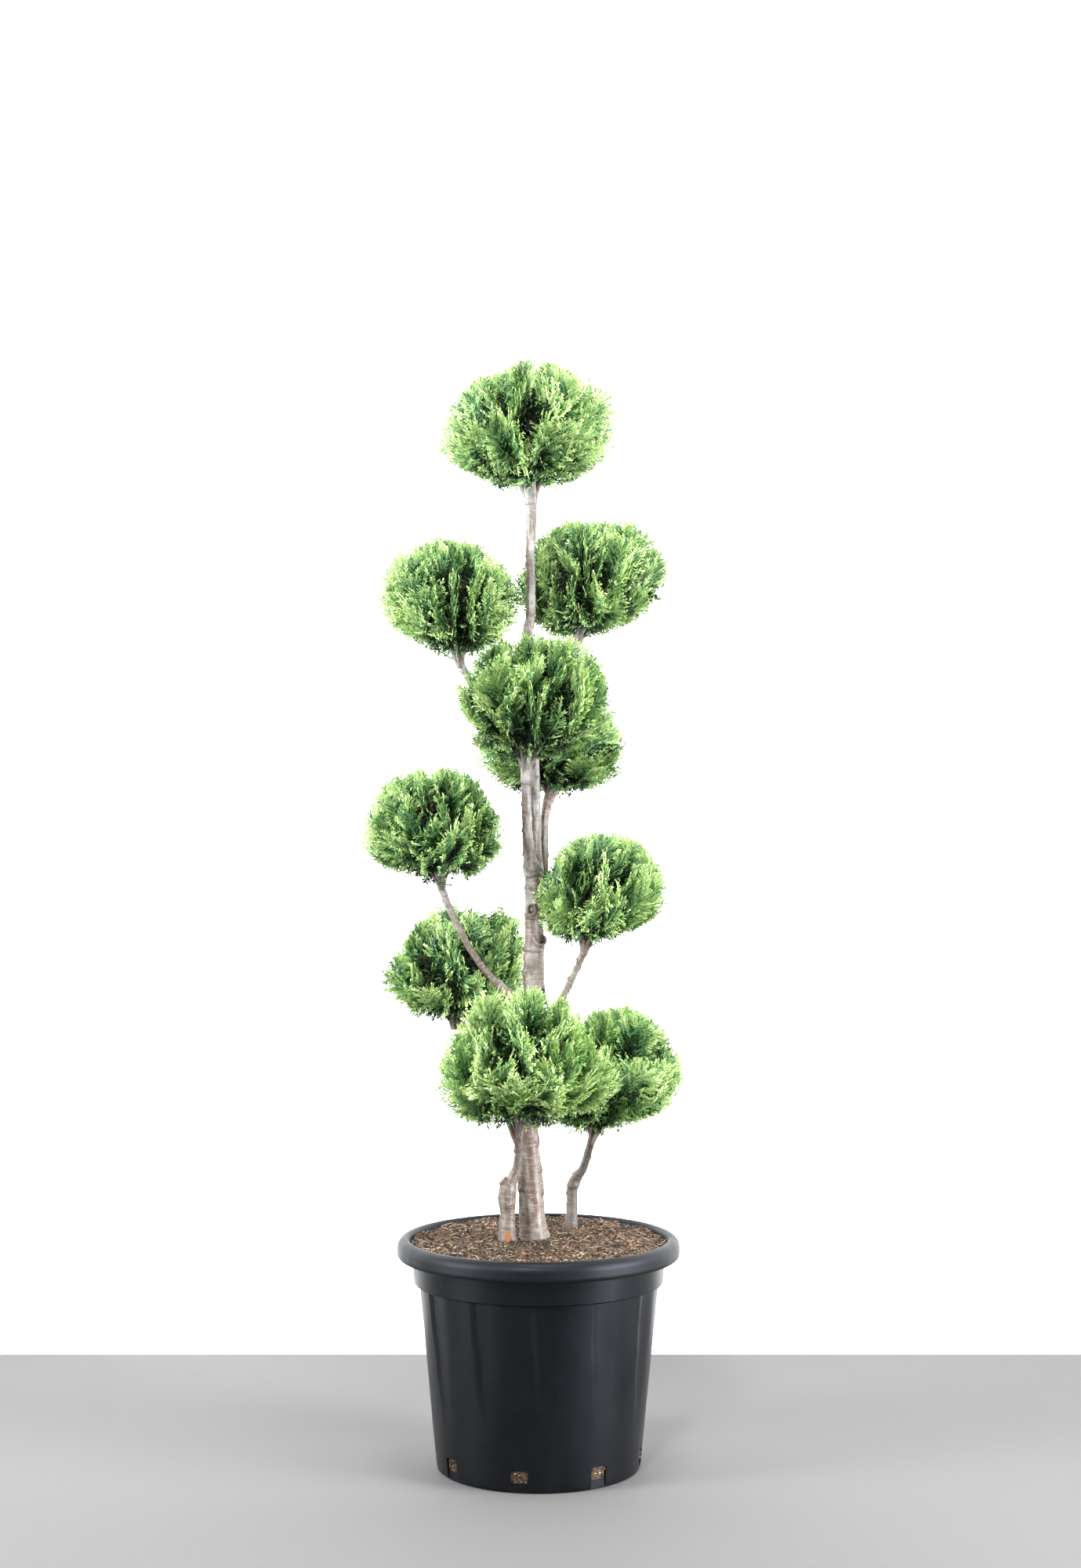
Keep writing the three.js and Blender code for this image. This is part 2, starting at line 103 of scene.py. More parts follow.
# The limbs, as stations [x, y, z, radius] from where each begins to its end inside its cloud.
LIMBS = {
    "trunk": [
        [-6, -2, 314, 20],
        [-8, -2, 340, 17.8],
        [-11, -2, 390, 16.4],
        [-15.5, -1, 460, 15.2],
        [-12.5, 0, 565, 14.6],
        [-7, 0, 675, 14],
        [-6, 0, 770, 12.6],
        [-7, 2, 835, 11.8],
        [-5.5, 6, 880, 8.6],
        [-6, 8, 950, 7.9],
        [-10, 5, 1065, 7.5],
        [-15, 0, 1150, 7.4],
        [-10, 0, 1184, 6.3],
        [-11, 0, 1262, 6.2],
        [-9.5, 0, 1318, 6.9],
        [-11, 0, 1339, 9.2],
        [-12, 0, 1352, 11.8],
        [-14, 0, 1385, 2],
    ],
    "stem_front": [
        [-42, -24, 314, 12.2],
        [-43, -24, 330, 11],
        [-42.5, -24, 352, 10.3],
        [-43.5, -24, 370, 12],
        [-42.5, -24, 386, 12.2],
        [-36, -25, 401, 7.8],
        [-30.5, -27.5, 417, 5.7],
        [-28.5, -31, 434, 5.4],
        [-28, -38, 457, 5.4],
        [-26, -47, 480, 6.4],
        [-24, -57, 512, 1.6],
    ],
    "stem_right": [
        [45.5, 80, 314, 8.8],
        [47, 80, 345, 7.3],
        [49, 80, 376, 7.9],
        [63, 76, 400, 5.8],
        [72, 70, 429, 5.3],
        [79, 63, 455, 6.4],
        [88, 55, 494, 1.6],
    ],
    "bough_lower_left": [
        [-13, 0, 530, 7],
        [-40, 18, 552, 6],
        [-78, 42, 580, 5.4],
        [-104, 55, 600, 5.2],
        [-120, 60, 618, 6.6],
        [-121, 62, 656, 1.6],
    ],
    "bough_left": [
        [-9, 0, 622, 6.6],
        [-30, -4, 645, 5.6],
        [-70.5, -8, 681.5, 4.8],
        [-102, -10, 729, 4.5],
        [-131, -10, 792, 4.6],
        [-136, -10, 817, 7],
        [-140, -10, 852, 1.6],
    ],
    "bough_right": [
        [-11, 0, 578, 6.5],
        [12, -8, 606, 5.2],
        [31, -14, 644, 4.6],
        [56.5, -24, 698.5, 4.3],
        [65, -28, 728, 6],
        [70, -30, 766, 1.6],
    ],
    "bough_back_middle": [
        [-6, 2, 735, 7],
        [4, 14, 775, 6.2],
        [8, 25, 817, 5.6],
        [8, 36, 878, 5.3],
        [11, 48, 912, 6],
        [18, 64, 937, 7.6],
        [22, 82, 974, 1.8],
    ],
    "bough_front_middle": [
        [-8, -1, 817, 12.6],
        [-9, -2.5, 829, 13.2],
        [-12.5, -9, 847, 8.8],
        [-15.5, -17, 885, 6.9],
        [-17, -22, 940, 6.7],
        [-16, -32, 976, 8.6],
        [-14, -52, 1014, 1.8],
    ],
    "bough_upper_left": [
        [-7, 8, 985, 6.6],
        [-30, 12, 1002, 5.8],
        [-64, 14, 1036, 5.2],
        [-101, 12, 1096, 4.9],
        [-112, 10, 1126, 7.4],
        [-119, 9, 1164, 1.6],
    ],
    "bough_upper_right": [
        [-8, 6, 1028, 6.2],
        [10, 22, 1052, 5.4],
        [32, 40, 1092, 4.9],
        [49, 52, 1130, 5.2],
        [55, 57, 1152, 7.2],
        [62, 60, 1192, 1.6],
    ],
}

# The knuckle of the old front stem, cut off aslant, and the spur that its thin end bears.
FRONT_KNUCKLE = [
    [-37, -24, 386, 9],
    [-43, -24, 392, 8.4],
    [-50.2, -24.5, 399.2, 7.4],
]
FRONT_SPUR = [
    [-29, -37, 450, 4.4],
    [-38, -43, 474, 4],
    [-45, -49, 496, 3],
]
# The collar left by a bough cut off high on the trunk: its rim's centre, where it points, and its section as
# [radius, distance along] from inside the trunk over the lip to the middle of the hollow.
TRUNK_CUT_PLACE = (2.2, -12, 729)
TRUNK_CUT_BEARING_DEG = 24
TRUNK_CUT_RISE_DEG = 34
TRUNK_CUT_SECTION = [
    [12, -22],
    [11.4, -14],
    [10.2, -8],
    [9.7, -4],
    [9.6, -1],
    [9.2, 1],
    [8.2, 1.9],
    [7.2, 1.2],
    [6.6, -1],
    [5.4, -3.2],
    [3.9, -3.4],
    [2.9, -1.9],
    [1.4, -1.2],
    [0.05, -1.1],
]
FRONT_CUT_PLACE = (-41.6, -36.6, 323)
FRONT_CUT_HALF_WIDTH = 5.4
FRONT_CUT_HALF_HEIGHT = 8

# Which limb carries each cloud, the cloud's seed, and how much brighter than the rest its leaves are.
# A cloud's twigs spread from that limb's last bulge.
CARRIERS = {
    "top": ("trunk", 324, 0.0),
    "upper_left": ("bough_upper_left", 402, 0.1),
    "upper_right": ("bough_upper_right", 203, -0.1),
    "front_middle": ("bough_front_middle", 14, 0.0),
    "back_middle": ("bough_back_middle", 5, 0.1),
    "left": ("bough_left", 16, -0.2),
    "right": ("bough_right", 307, 0.1),
    "lower_left": ("bough_lower_left", 8, -0.2),
    "front_low": ("stem_front", 9, 0.3),
    "right_low": ("stem_right", 10, 0.0),
}

# The foliage: fronds whose tips make a cloud's surface, and shorter ones inside it. Each frond is a flat
# fan: shoots stand on both sides of its axis, and fingers of scale leaves on both sides of each shoot.
OUTER_FRONDS = 170
INNER_FRONDS = 150
COLLAR_FRONDS = 20
FROND_LENGTH = (56, 84)
FROND_HALF_WIDTH = 24
SHOOT_SPACING = 9.3
SHOOT_HALF_WIDTH = 0.8
FINGER_SPACING = 4.9
FINGER_LENGTH = 8.8
FINGER_END_LENGTH = 6
FINGER_WIDTH = 2.3
FINGER_ANGLE_DEG = (22, 34)
# How fronds stand: how strongly they turn upwards, how far their tips run on before they are sheared, how
# much a fan's plane turns, how nearly its fronds lie in it and lean together, and how wide inner ones are.
UPRIGHT = 0.75
OVERSHOOT = 14
FAN_TURN_DEG = 38
FAN_FLATNESS = 0.85
FAN_GATHER = 0.12
DEEP_WIDTH = 1.35
# How far out foliage is left standing, as a share of the outline: usually, how that varies by fan and by
# shoot, what a stray frond and a cloud's underside add, and at most.
CLIP_LIMIT = 1.015
FAN_CLIP_JITTER = 0.045
SHOOT_CLIP_JITTER = 0.056
STRAY_REACH = 0.1
UNDERSIDE_REACH = 0.06
MOST_REACH = 1.17
# A leaf's place in LEAF_COLOURS: its usual value, what its tone in the frond and its depth in the cloud add
# (darker deeper in, partly as painted shade), and how much darker inner fronds are, as painted shade.
LEAF_VALUE = 1.55
TONE_GAIN = 3.9
DEPTH_GAIN = 2.8
DEEP_SHADE = 3.0
# Half the width of a cloud that has the numbers of fronds above, and how near its foot fronds may end.
CLOUD_HALF_WIDTH = 90
FOOT_CLEARANCE = 46
# How far towards the outline the tips of outer and inner fronds lie.
OUTER_DEPTH = (0.98, 1.04)
INNER_DEPTH = (0.3, 0.9)


def srgb(code):
    """A hex colour as linear red, green, blue and alpha."""
    parts = [int(code[i : i + 2], 16) / 255 for i in (1, 3, 5)]
    return tuple(c / 12.92 if c <= 0.04045 else ((c + 0.055) / 1.055) ** 2.4 for c in parts) + (1.0,)


def add_node(tree, kind, inputs=None, **settings):
    """Adds a shader node. inputs gives its sockets values, or other nodes' outputs to link."""
    node = tree.nodes.new("ShaderNode" + kind)
    for name, value in settings.items():
        setattr(node, name, value)
    for name, value in (inputs or {}).items():
        if isinstance(value, bpy.types.NodeSocket):
            tree.links.new(value, node.inputs[name])
        else:
            node.inputs[name].default_value = value
    return node


def new_material(name):
    """An empty material and its tree, with a Principled shader on the output."""
    material = bpy.data.materials.new(name)
    material.use_nodes = True
    tree = material.node_tree
    tree.nodes.clear()
    shader = add_node(tree, "BsdfPrincipled", name="Principled BSDF")
    add_node(tree, "OutputMaterial", {"Surface": shader.outputs["BSDF"]})
    return material, tree, shader


def plain_material(name, colour, roughness, specular=0.5):
    """A material with one colour all over."""
    material, _, shader = new_material(name)
    shader.inputs["Base Color"].default_value = srgb(colour)
    shader.inputs["Roughness"].default_value = roughness
    shader.inputs["Specular IOR Level"].default_value = specular
    return material


def mesh_piece(name, places, triangles, materials, slots=None, smooth=False):
    """An object at the origin from arrays of places in millimetres and triangles."""
    mesh = bpy.data.meshes.new(name)
    count = len(triangles)
    mesh.vertices.add(len(places))
    mesh.vertices.foreach_set("co", (np.asarray(places, dtype=np.float32) * MM).ravel())
    mesh.loops.add(count * 3)
    mesh.loops.foreach_set("vertex_index", np.asarray(triangles, dtype=np.int32).ravel())
    mesh.polygons.add(count)
    mesh.polygons.foreach_set("loop_start", np.arange(0, count * 3, 3, dtype=np.int32))
    if slots is not None:
        mesh.polygons.foreach_set("material_index", np.asarray(slots, dtype=np.int32))
    mesh.polygons.foreach_set("use_smooth", np.full(count, smooth))
    for material in materials:
        mesh.materials.append(material)
    mesh.update(calc_edges=True)
    mesh.validate()
    piece = bpy.data.objects.new(name, mesh)
    bpy.context.collection.objects.link(piece)
    return piece


def select_only(piece):
    """Makes one object the selected and active one."""
    bpy.ops.object.select_all(action="DESELECT")
    piece.select_set(True)
    bpy.context.view_layer.objects.active = piece


def declare(piece, slot, *replaced):
    """The piece rides with the part's one body and stands for CAD nodes. slot is not used."""
    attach(piece, "root")
    if replaced:
        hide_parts(*replaced)


def smoothstep(low, high, value):
    """From 0 at low to 1 at high, gently at both ends."""
    share = min(max((value - low) / (high - low), 0.0), 1.0)
    return share * share * (3 - 2 * share)


def unit(vector):
    """The vector at length 1."""
    return vector / max(np.linalg.norm(vector), 1e-9)


def direction(bearing, elevation):
    """The unit direction at a bearing from +X towards +Y and an elevation, both in radians."""
    flat = math.cos(elevation)
    return np.array([flat * math.cos(bearing), flat * math.sin(bearing), math.sin(elevation)])


# Materials.


def pot_material():
    """Black recycled polyethylene, blow moulded: a dark, satin skin, a little cloudy and unevenly glossy."""
    material, tree, shader = new_material("black_recycled_polyethylene")
    place = add_node(tree, "TexCoord").outputs["Object"]
    cloudy = add_node(tree, "TexNoise", {"Vector": place, "Scale": 28.0, "Detail": 4.0, "Roughness": 0.6})
    colour = add_node(tree, "ValToRGB", {"Fac": cloudy.outputs["Fac"]})
    colour.color_ramp.elements[0].position = 0.3
    colour.color_ramp.elements[0].color = srgb("#020304")
    colour.color_ramp.elements[1].position = 0.75
    colour.color_ramp.elements[1].color = srgb("#06070A")
    tree.links.new(colour.outputs["Color"], shader.inputs["Base Color"])
    # Rubbed and clean patches are a few centimetres across and upright, as the pot was drawn from its mould.
    drawn = add_node(tree, "Mapping", {"Vector": place, "Scale": (26.0, 26.0, 9.0)})
    rubbed = add_node(tree, "TexNoise", {"Vector": drawn.outputs["Vector"], "Scale": 1.0, "Detail": 2.0})
    limits = {"From Min": 0.2, "From Max": 0.8, "To Min": 0.3, "To Max": 0.44}
    gloss = add_node(tree, "MapRange", {"Value": rubbed.outputs["Fac"], **limits})
    # The rim is handled more, so it is duller.
    height = add_node(tree, "SeparateXYZ", {"Vector": place}).outputs["Z"]
    limits = {"From Min": 0.286, "From Max": 0.292, "To Min": 0.0, "To Max": 0.12}
    handled = add_node(tree, "MapRange", {"Value": height, **limits}).outputs["Result"]
    dull = add_node(tree, "Math", {0: gloss.outputs["Result"], 1: handled}, operation="ADD")
    tree.links.new(dull.outputs["Value"], shader.inputs["Roughness"])
    shader.inputs["Specular IOR Level"].default_value = 0.26
    shader.inputs["Specular Tint"].default_value = srgb("#DCE4F4")
    return material


def soil_material():
    """Damp peat with rotted bark: dark brown, matt, and speckled a few millimetres across."""
    material, tree, shader = new_material("damp_peat_and_bark")
    place = add_node(tree, "TexCoord").outputs["Object"]
    specks = add_node(tree, "TexNoise", {"Vector": place, "Scale": 260.0, "Detail": 6.0, "Roughness": 0.7})
    colour = add_node(tree, "ValToRGB", {"Fac": specks.outputs["Fac"]})
    colour.color_ramp.elements[0].position = 0.34
    colour.color_ramp.elements[0].color = srgb("#261D17")
    colour.color_ramp.elements[1].position = 0.68
    colour.color_ramp.elements[1].color = srgb("#65523F")
    middle = colour.color_ramp.elements.new(0.52)
    middle.color = srgb("#43362B")
    tree.links.new(colour.outputs["Color"], shader.inputs["Base Color"])
    bump = add_node(tree, "Bump", {"Height": specks.outputs["Fac"], "Strength": 0.6, "Distance": 2.0 * MM})
    tree.links.new(bump.outputs["Normal"], shader.inputs["Normal"])
    shader.inputs["Roughness"].default_value = 0.9
    return material


def bark_material(name, shade_share=0.0):
    """Smooth bark of a young cypress: silvery beige with red-brown streaks and short pale and dark rings.
    The last argument is how far painted shade darkens the whole piece."""
    material, tree, shader = new_material(name)
    # The attribute holds millimetres along the limb and across it, so the rings follow each limb's bends.
    along = add_node(tree, "Attribute", attribute_name="bark_place").outputs["Vector"]
    painted_relief_shade = add_node(tree, "Attribute", attribute_name="bark_painted_shade").outputs["Fac"]

    def stretched_noise(lengthwise, crosswise, detail):
        scale = (1 / lengthwise, 1 / crosswise, 1 / crosswise)
        place = add_node(tree, "Mapping", {"Vector": along, "Scale": scale}).outputs["Vector"]
        return add_node(tree, "TexNoise", {"Vector": place, "Scale": 1.0, "Detail": detail})

    def share_of(source, low, high, most=1.0):
        limits = {"From Min": low, "From Max": high, "To Max": most}
        return add_node(tree, "MapRange", {"Value": source.outputs["Fac"], **limits}).outputs["Result"]

    def blend(factor, below, above):
        mixed = add_node(tree, "Mix", {"Factor": factor}, data_type="RGBA")
        for socket, value in ((mixed.inputs[6], below), (mixed.inputs[7], above)):
            if isinstance(value, str):
                socket.default_value = srgb(value)
            else:
                tree.links.new(value, socket)
        return mixed.outputs[2]

    clouded = stretched_noise(20.0, 10.0, 5.0)
    streaks = stretched_noise(60.0, 9.0, 3.0)
    bands = stretched_noise(3.2, 18.0, 3.0)
    patches = stretched_noise(9.0, 6.0, 5.0)
    rings = stretched_noise(0.85, 7.0, 2.0)
    height = add_node(tree, "SeparateXYZ", {"Vector": add_node(tree, "TexCoord").outputs["Object"]})
    # Lower bark is darker and browner; between 0.7 m and 1 m high it turns lighter and greyer.
    height_blend = add_node(tree, "MapRange", {"Value": height.outputs["Z"], "From Min": 0.7, "From Max": 1.0})
    dark = blend(height_blend.outputs["Result"], "#4C433C", "#5F5D5A")
    pale = blend(height_blend.outputs["Result"], "#79716A", "#A1A09E")
    colour = blend(share_of(clouded, 0.36, 0.64), dark, pale)
    colour = blend(share_of(streaks, 0.48, 0.57, 0.8), colour, "#583F31")
    colour = blend(share_of(bands, 0.5, 0.66, 0.25), colour, "#A09D99")
    colour = blend(share_of(patches, 0.56, 0.68, 0.7), colour, "#54483F")
    colour = blend(share_of(rings, 0.56, 0.74, 0.3), colour, "#C2BEB8")
    colour = blend(share_of(rings, 0.42, 0.3, 0.35), colour, "#51473F")
    # Painted shade: the whole piece darkened by the given share.
    colour = blend(shade_share, colour, "#1E1A16")
    # Painted shade in the pits of knots, the grooves under collars and the hollow of the high cut.
    colour = blend(painted_relief_shade, colour, "#2E241E")
    tree.links.new(colour, shader.inputs["Base Color"])
    bump = add_node(tree, "Bump", {"Height": rings.outputs["Fac"], "Strength": 0.5, "Distance": 0.6 * MM})
    tree.links.new(bump.outputs["Normal"], shader.inputs["Normal"])
    shader.inputs["Roughness"].default_value = 0.5
    return material


# Scale leaves, from the shaded inside of a cloud to its sunlit tips: plain colours dealt out by spray.
LEAF_COLOURS = {
    "scale_leaf_inmost": "#0B1808",
    "scale_leaf_shaded": "#213E1A",
    "scale_leaf_blue_green": "#568152",
    "scale_leaf_mid_green": "#89AB66",
    "scale_leaf_fresh": "#B3CE83",
    "scale_leaf_lime": "#C4DD97",
    "scale_leaf_gold": "#D0E5A7",
}
leaf_materials = [plain_material(name, colour, 0.55, 0.2) for name, colour in LEAF_COLOURS.items()]
# Young twigs: thin matt bark, redder on the finest ones.
twig_materials = [
    plain_material("brown_twig_bark", "#7B6252", 0.7, 0.3),
    plain_material("red_brown_twig_bark", "#6B4A38", 0.65, 0.3),
]
pot_skin = pot_material()
soil_mix = soil_material()
bark = bark_material("smooth_cypress_bark")
# Painted shade darkens the two thin stems, which stand below the lowest clouds.
shaded_barks = {
    "stem_front": bark_material("painted_shade_bark_of_front_stem", 0.3),
    "stem_right": bark_material("painted_shade_bark_of_right_stem", 0.62),
}
# Wood laid bare by the shears: grey-brown after a season, orange-brown when fresh.
weathered_cut = plain_material("weathered_cut_wood", "#8B7462", 0.85, 0.2)
fresh_cut = plain_material("fresh_cut_wood", "#7A5030", 0.75, 0.3)


# The limbs.

# Limbs this thick get finer rings and more sides, in millimetres.
THICK_LIMB = 12
# Relief all over the bark: for pimples and for low ribs, how quickly it changes along the limb and around
# it, and how high it is. A limb also swells and thins by a share of its radius.
BARK_RELIEF = [(0.42, 0.8, 0.34), (0.11, 2.2, 0.45)]
LIMB_SWELL = 0.13
# How far up from the soil a stem's foot flares out in ribs.
ROOT_FLARE = 46
# The stubs of rubbed-off shoots, this far apart.
NUB_SPACING = 17
KNOTS = [
    # limb, height, bearing in degrees from the front (-Y) towards +X, half width and height, lip, pit
    ("trunk", 799, -20, 3.2, 2.6, 0.9, 0.8),
    ("trunk", 771, -19, 4.8, 6.4, 2.4, 3.2),
    ("trunk", 694, -88, 9, 10, 2.6, 0),
    ("trunk", 655, 62, 6, 7, 2.4, 1.6),
    ("trunk", 452, 72, 5, 6, 1.5, 1.2),
    ("trunk", 413, 80, 5, 5, 1.3, 1.0),
    ("trunk", 385, 84, 5, 6, 1.6, 1.2),
    ("trunk", 388, -72, 5, 5, 1.4, 1.0),
    ("trunk", 500, 10, 5, 4, 1.4, 1.2),
    ("trunk", 1100, -60, 5, 5, 1.4, 1.0),
]
COLLARS = [
    # limb, height of the groove, how far the ring above it swells, that ring's height
    ("trunk", 820, 2.4, 13),
    ("trunk", 758, 1.3, 8),
    ("trunk", 713, 1.5, 7),
    ("trunk", 640, 1.2, 10),
    ("trunk", 470, 1.1, 9),
    ("bough_left", 790, 0.9, 7),
    ("bough_right", 700, 0.9, 7),
    ("bough_front_middle", 945, 0.9, 8),
    ("bough_upper_left", 1098, 0.9, 7),
    ("bough_upper_right", 1132, 0.9, 7),
    ("stem_right", 372, 1.2, 6),
]


def smooth_path(stations, spacing):
    """Places and radii along a smooth curve through the stations, about spacing apart."""
    points = [np.array(station[:3], dtype=float) for station in stations]
    radii = [station[3] for station in stations]
    before = 2 * points[0] - points[1]
    after = 2 * points[-1] - points[-2]
    padded = [before, *points, after]
    places = []
    widths = []
    for i in range(len(points) - 1):
        a, b, c, d = padded[i : i + 4]
        steps = max(2, int(np.linalg.norm(c - b) / spacing))
        for step in range(steps + (i == len(points) - 2)):
            t = step / steps
            square = (2 * a - 5 * b + 4 * c - d) * t**2
            cube = (3 * b - a - 3 * c + d) * t**3
            places.append(0.5 * (2 * b + (c - a) * t + square + cube))
            widths.append(radii[i] + (radii[i + 1] - radii[i]) * smoothstep(0, 1, t))
    return np.array(places), np.array(widths)


def tube_curve(name, places, radii, resolution):
    """A round tube along a path, made as a curve and turned into a mesh."""
    bpy.ops.curve.primitive_bezier_curve_add()
    tube = bpy.context.object
    tube.name = name
    curve = tube.data
    curve.splines.clear()
    spline = curve.splines.new("POLY")
    spline.points.add(len(places) - 1)
    for point, place, radius in zip(spline.points, places, radii):
        point.co = (*(place * MM), 1.0)
        point.radius = radius * MM
    curve.dimensions = "3D"
    curve.bevel_depth = 1.0
    curve.bevel_resolution = resolution
    curve.use_fill_caps = True
    select_only(tube)
    bpy.ops.object.convert(target="MESH")
    tube.data.name = name
    return tube


def strew_nubs():
    """The stubs of small shoots that were rubbed off, on both sides of every limb."""
    rng = np.random.default_rng(88)
    for name, stations in LIMBS.items():
        low, high = sorted((stations[0][2], stations[-1][2]))
        for height in np.arange(low + 12, high - 8, NUB_SPACING):
            side = 90 * rng.choice([-1, 1]) + rng.normal(0, 28)
            size = rng.uniform(1.4, 2.4)
            KNOTS.append((name, height + rng.uniform(-6, 6), side, size, size, rng.uniform(0.7, 1.5), 0.3))


def knot_relief(name, heights, bearings, radii):
    """How far knots and collars swell a limb's bark at some places, and how much painted shade darkens their
    pits and grooves.
    """
    swell = np.zeros(len(heights))
    dark = np.zeros(len(heights))
    for where, height, bearing, half_width, half_height, lip, pit in KNOTS:
        if where == name:
            turn = (bearings - math.radians(bearing) + math.pi) % (2 * math.pi) - math.pi
            rim = np.hypot((heights - height) / half_height, turn * radii / half_width)
            heavy = 1 + 0.35 * np.clip((height - heights) / half_height, -1, 1)
            swell += lip * heavy * np.exp(-(((rim - 1.15) / 0.55) ** 2))
            swell -= pit * np.exp(-((rim / 0.8) ** 4))
            swell += pit * 0.8 * np.exp(-((rim / 0.34) ** 2))
            if pit:
                swell += 0.28 * np.cos(rim * 2 * math.pi / 0.4) * np.exp(-((rim / 1.7) ** 2))
                # Painted shade in a ring on the pit's wall.
                dark = np.maximum(dark, np.exp(-(((rim - 0.68) / 0.26) ** 2)))
    for where, groove, rise, reach in COLLARS:
        if where == name:
            above = heights - groove - 1.5 + 1.5 * np.cos(bearings)
            swell += rise * np.exp(-(((above - 0.4 * reach) / (0.6 * reach)) ** 2)) * (above > 0)
            swell += rise * 0.6 * np.exp(-((above / 1.6) ** 2)) * (above <= 0)
            # Painted shade in the groove under the collar.
            dark = np.maximum(dark, 0.7 * np.exp(-(((above + 1.2) / 0.9) ** 2)))
    return swell, dark


def bark_swell(name, points, bearings, along, around, widths, seed):
    """How far a limb's bark stands out at some points, and how much painted shade darkens each in pits and
    grooves.
    """
    swell, pit_shade = knot_relief(name, points[:, 2], bearings, widths)
    for i in range(len(points)):
        s = along[i]
        x, y = around[i]
        for lengthwise, crosswise, high in BARK_RELIEF:
            swell[i] += noise.noise(Vector((s * lengthwise, x * crosswise, y * crosswise + seed))) * high
        swell[i] += noise.noise(Vector((s * 0.012, x * 1.5, y * 1.5 + seed))) * widths[i] * LIMB_SWELL
    return swell, pit_shade


def bark_tube(name, stations, seed):
    """A tube with its bark's relief: pimples, low ribs, knots and collars."""
    thick = max(station[3] for station in stations) > THICK_LIMB
    places, radii = smooth_path(stations, 1.2 if thick else 1.7)
    tube = tube_curve(name, places, radii, 32 if thick else 11 if max(radii) > 4 else 3)
    mesh = tube.data
    # The vertices come as the end cap's ring, the start cap's ring and then the rings in order.
    count = len(mesh.vertices)
    sides = count // (len(places) + 2)
    ring = np.concatenate([[len(places) - 1, 0], np.arange(len(places))]).repeat(sides)
    points = np.empty(count * 3, dtype=np.float32)
    mesh.vertices.foreach_get("co", points)
    points = points.reshape(-1, 3) / MM
    outward = points - places[ring]
    outward /= np.linalg.norm(outward, axis=1)[:, None]
    bearings = np.arctan2(outward[:, 0], -outward[:, 1])
    along = np.concatenate([[0], np.cumsum(np.linalg.norm(np.diff(places, axis=0), axis=1))])[ring]
    around = np.stack([np.cos(bearings), np.sin(bearings)], axis=1)
    widths = radii[ring]
    swell, pit_shade = bark_swell(name, points, bearings, along, around, widths, seed)
    if stations[0][2] == SOIL_TOP:
        flare = np.clip((ROOT_FLARE - along) / ROOT_FLARE, 0, 1) ** 3
        swell += flare * widths * 0.07 * (1 + np.cos(5 * bearings + seed))
    points += outward * swell[:, None]
    mesh.vertices.foreach_set("co", (points * MM).astype(np.float32).ravel())
    marks = np.column_stack([along + seed * 7, around * widths[:, None]]).astype(np.float32)
    mesh.attributes.new("bark_place", "FLOAT_VECTOR", "POINT").data.foreach_set("vector", marks.ravel())
    mesh.attributes.new("bark_painted_shade", "FLOAT", "POINT").data.foreach_set("value", pit_shade.astype(np.float32))
    mesh.materials.clear()
    for material in (bark, weathered_cut, fresh_cut):
        mesh.materials.append(material)
    for polygon in mesh.polygons:
        end_cap = max(polygon.vertices) < sides
        polygon.material_index = 1 if end_cap else 0
        polygon.use_smooth = not end_cap
    mesh.update()
    return tube


def join_tubes(tubes, name):
    """Joins tubes into one piece, and closes the seams at their caps."""
    select_only(tubes[0])
    for tube in tubes:
        tube.select_set(True)
    if len(tubes) > 1:
        bpy.ops.object.join()
    piece = tubes[0]
    piece.name = name
    piece.data.name = name
    bpy.ops.object.mode_set(mode="EDIT")
    bpy.ops.mesh.select_all(action="SELECT")
    bpy.ops.mesh.remove_doubles(threshold=1e-6)
    bpy.ops.object.mode_set(mode="OBJECT")
    return piece


def make_front_cut():
    """The fresh pruning cut at the foot of the front stump, an oval of bare wood."""
    bpy.ops.mesh.primitive_cylinder_add(
        vertices=40,
        radius=1.0,
        depth=2.0,
        location=[c * MM for c in FRONT_CUT_PLACE],
        rotation=(math.radians(78), 0, math.radians(-6)),
        scale=(FRONT_CUT_HALF_WIDTH * MM, FRONT_CUT_HALF_HEIGHT * MM, 2.2 * MM),
    )
    cut = bpy.context.object
    bpy.ops.object.transform_apply(location=True, rotation=True, scale=True)
    bevel = cut.modifiers.new("lip", "BEVEL")
    bevel.width = 0.8 * MM
    bevel.segments = 2
    bpy.ops.object.modifier_apply(modifier=bevel.name)
    cut.data.materials.clear()
    for material in (bark, weathered_cut, fresh_cut):
        cut.data.materials.append(material)
    for polygon in cut.data.polygons:
        polygon.material_index = 2 if len(polygon.vertices) > 8 else 0
    return cut


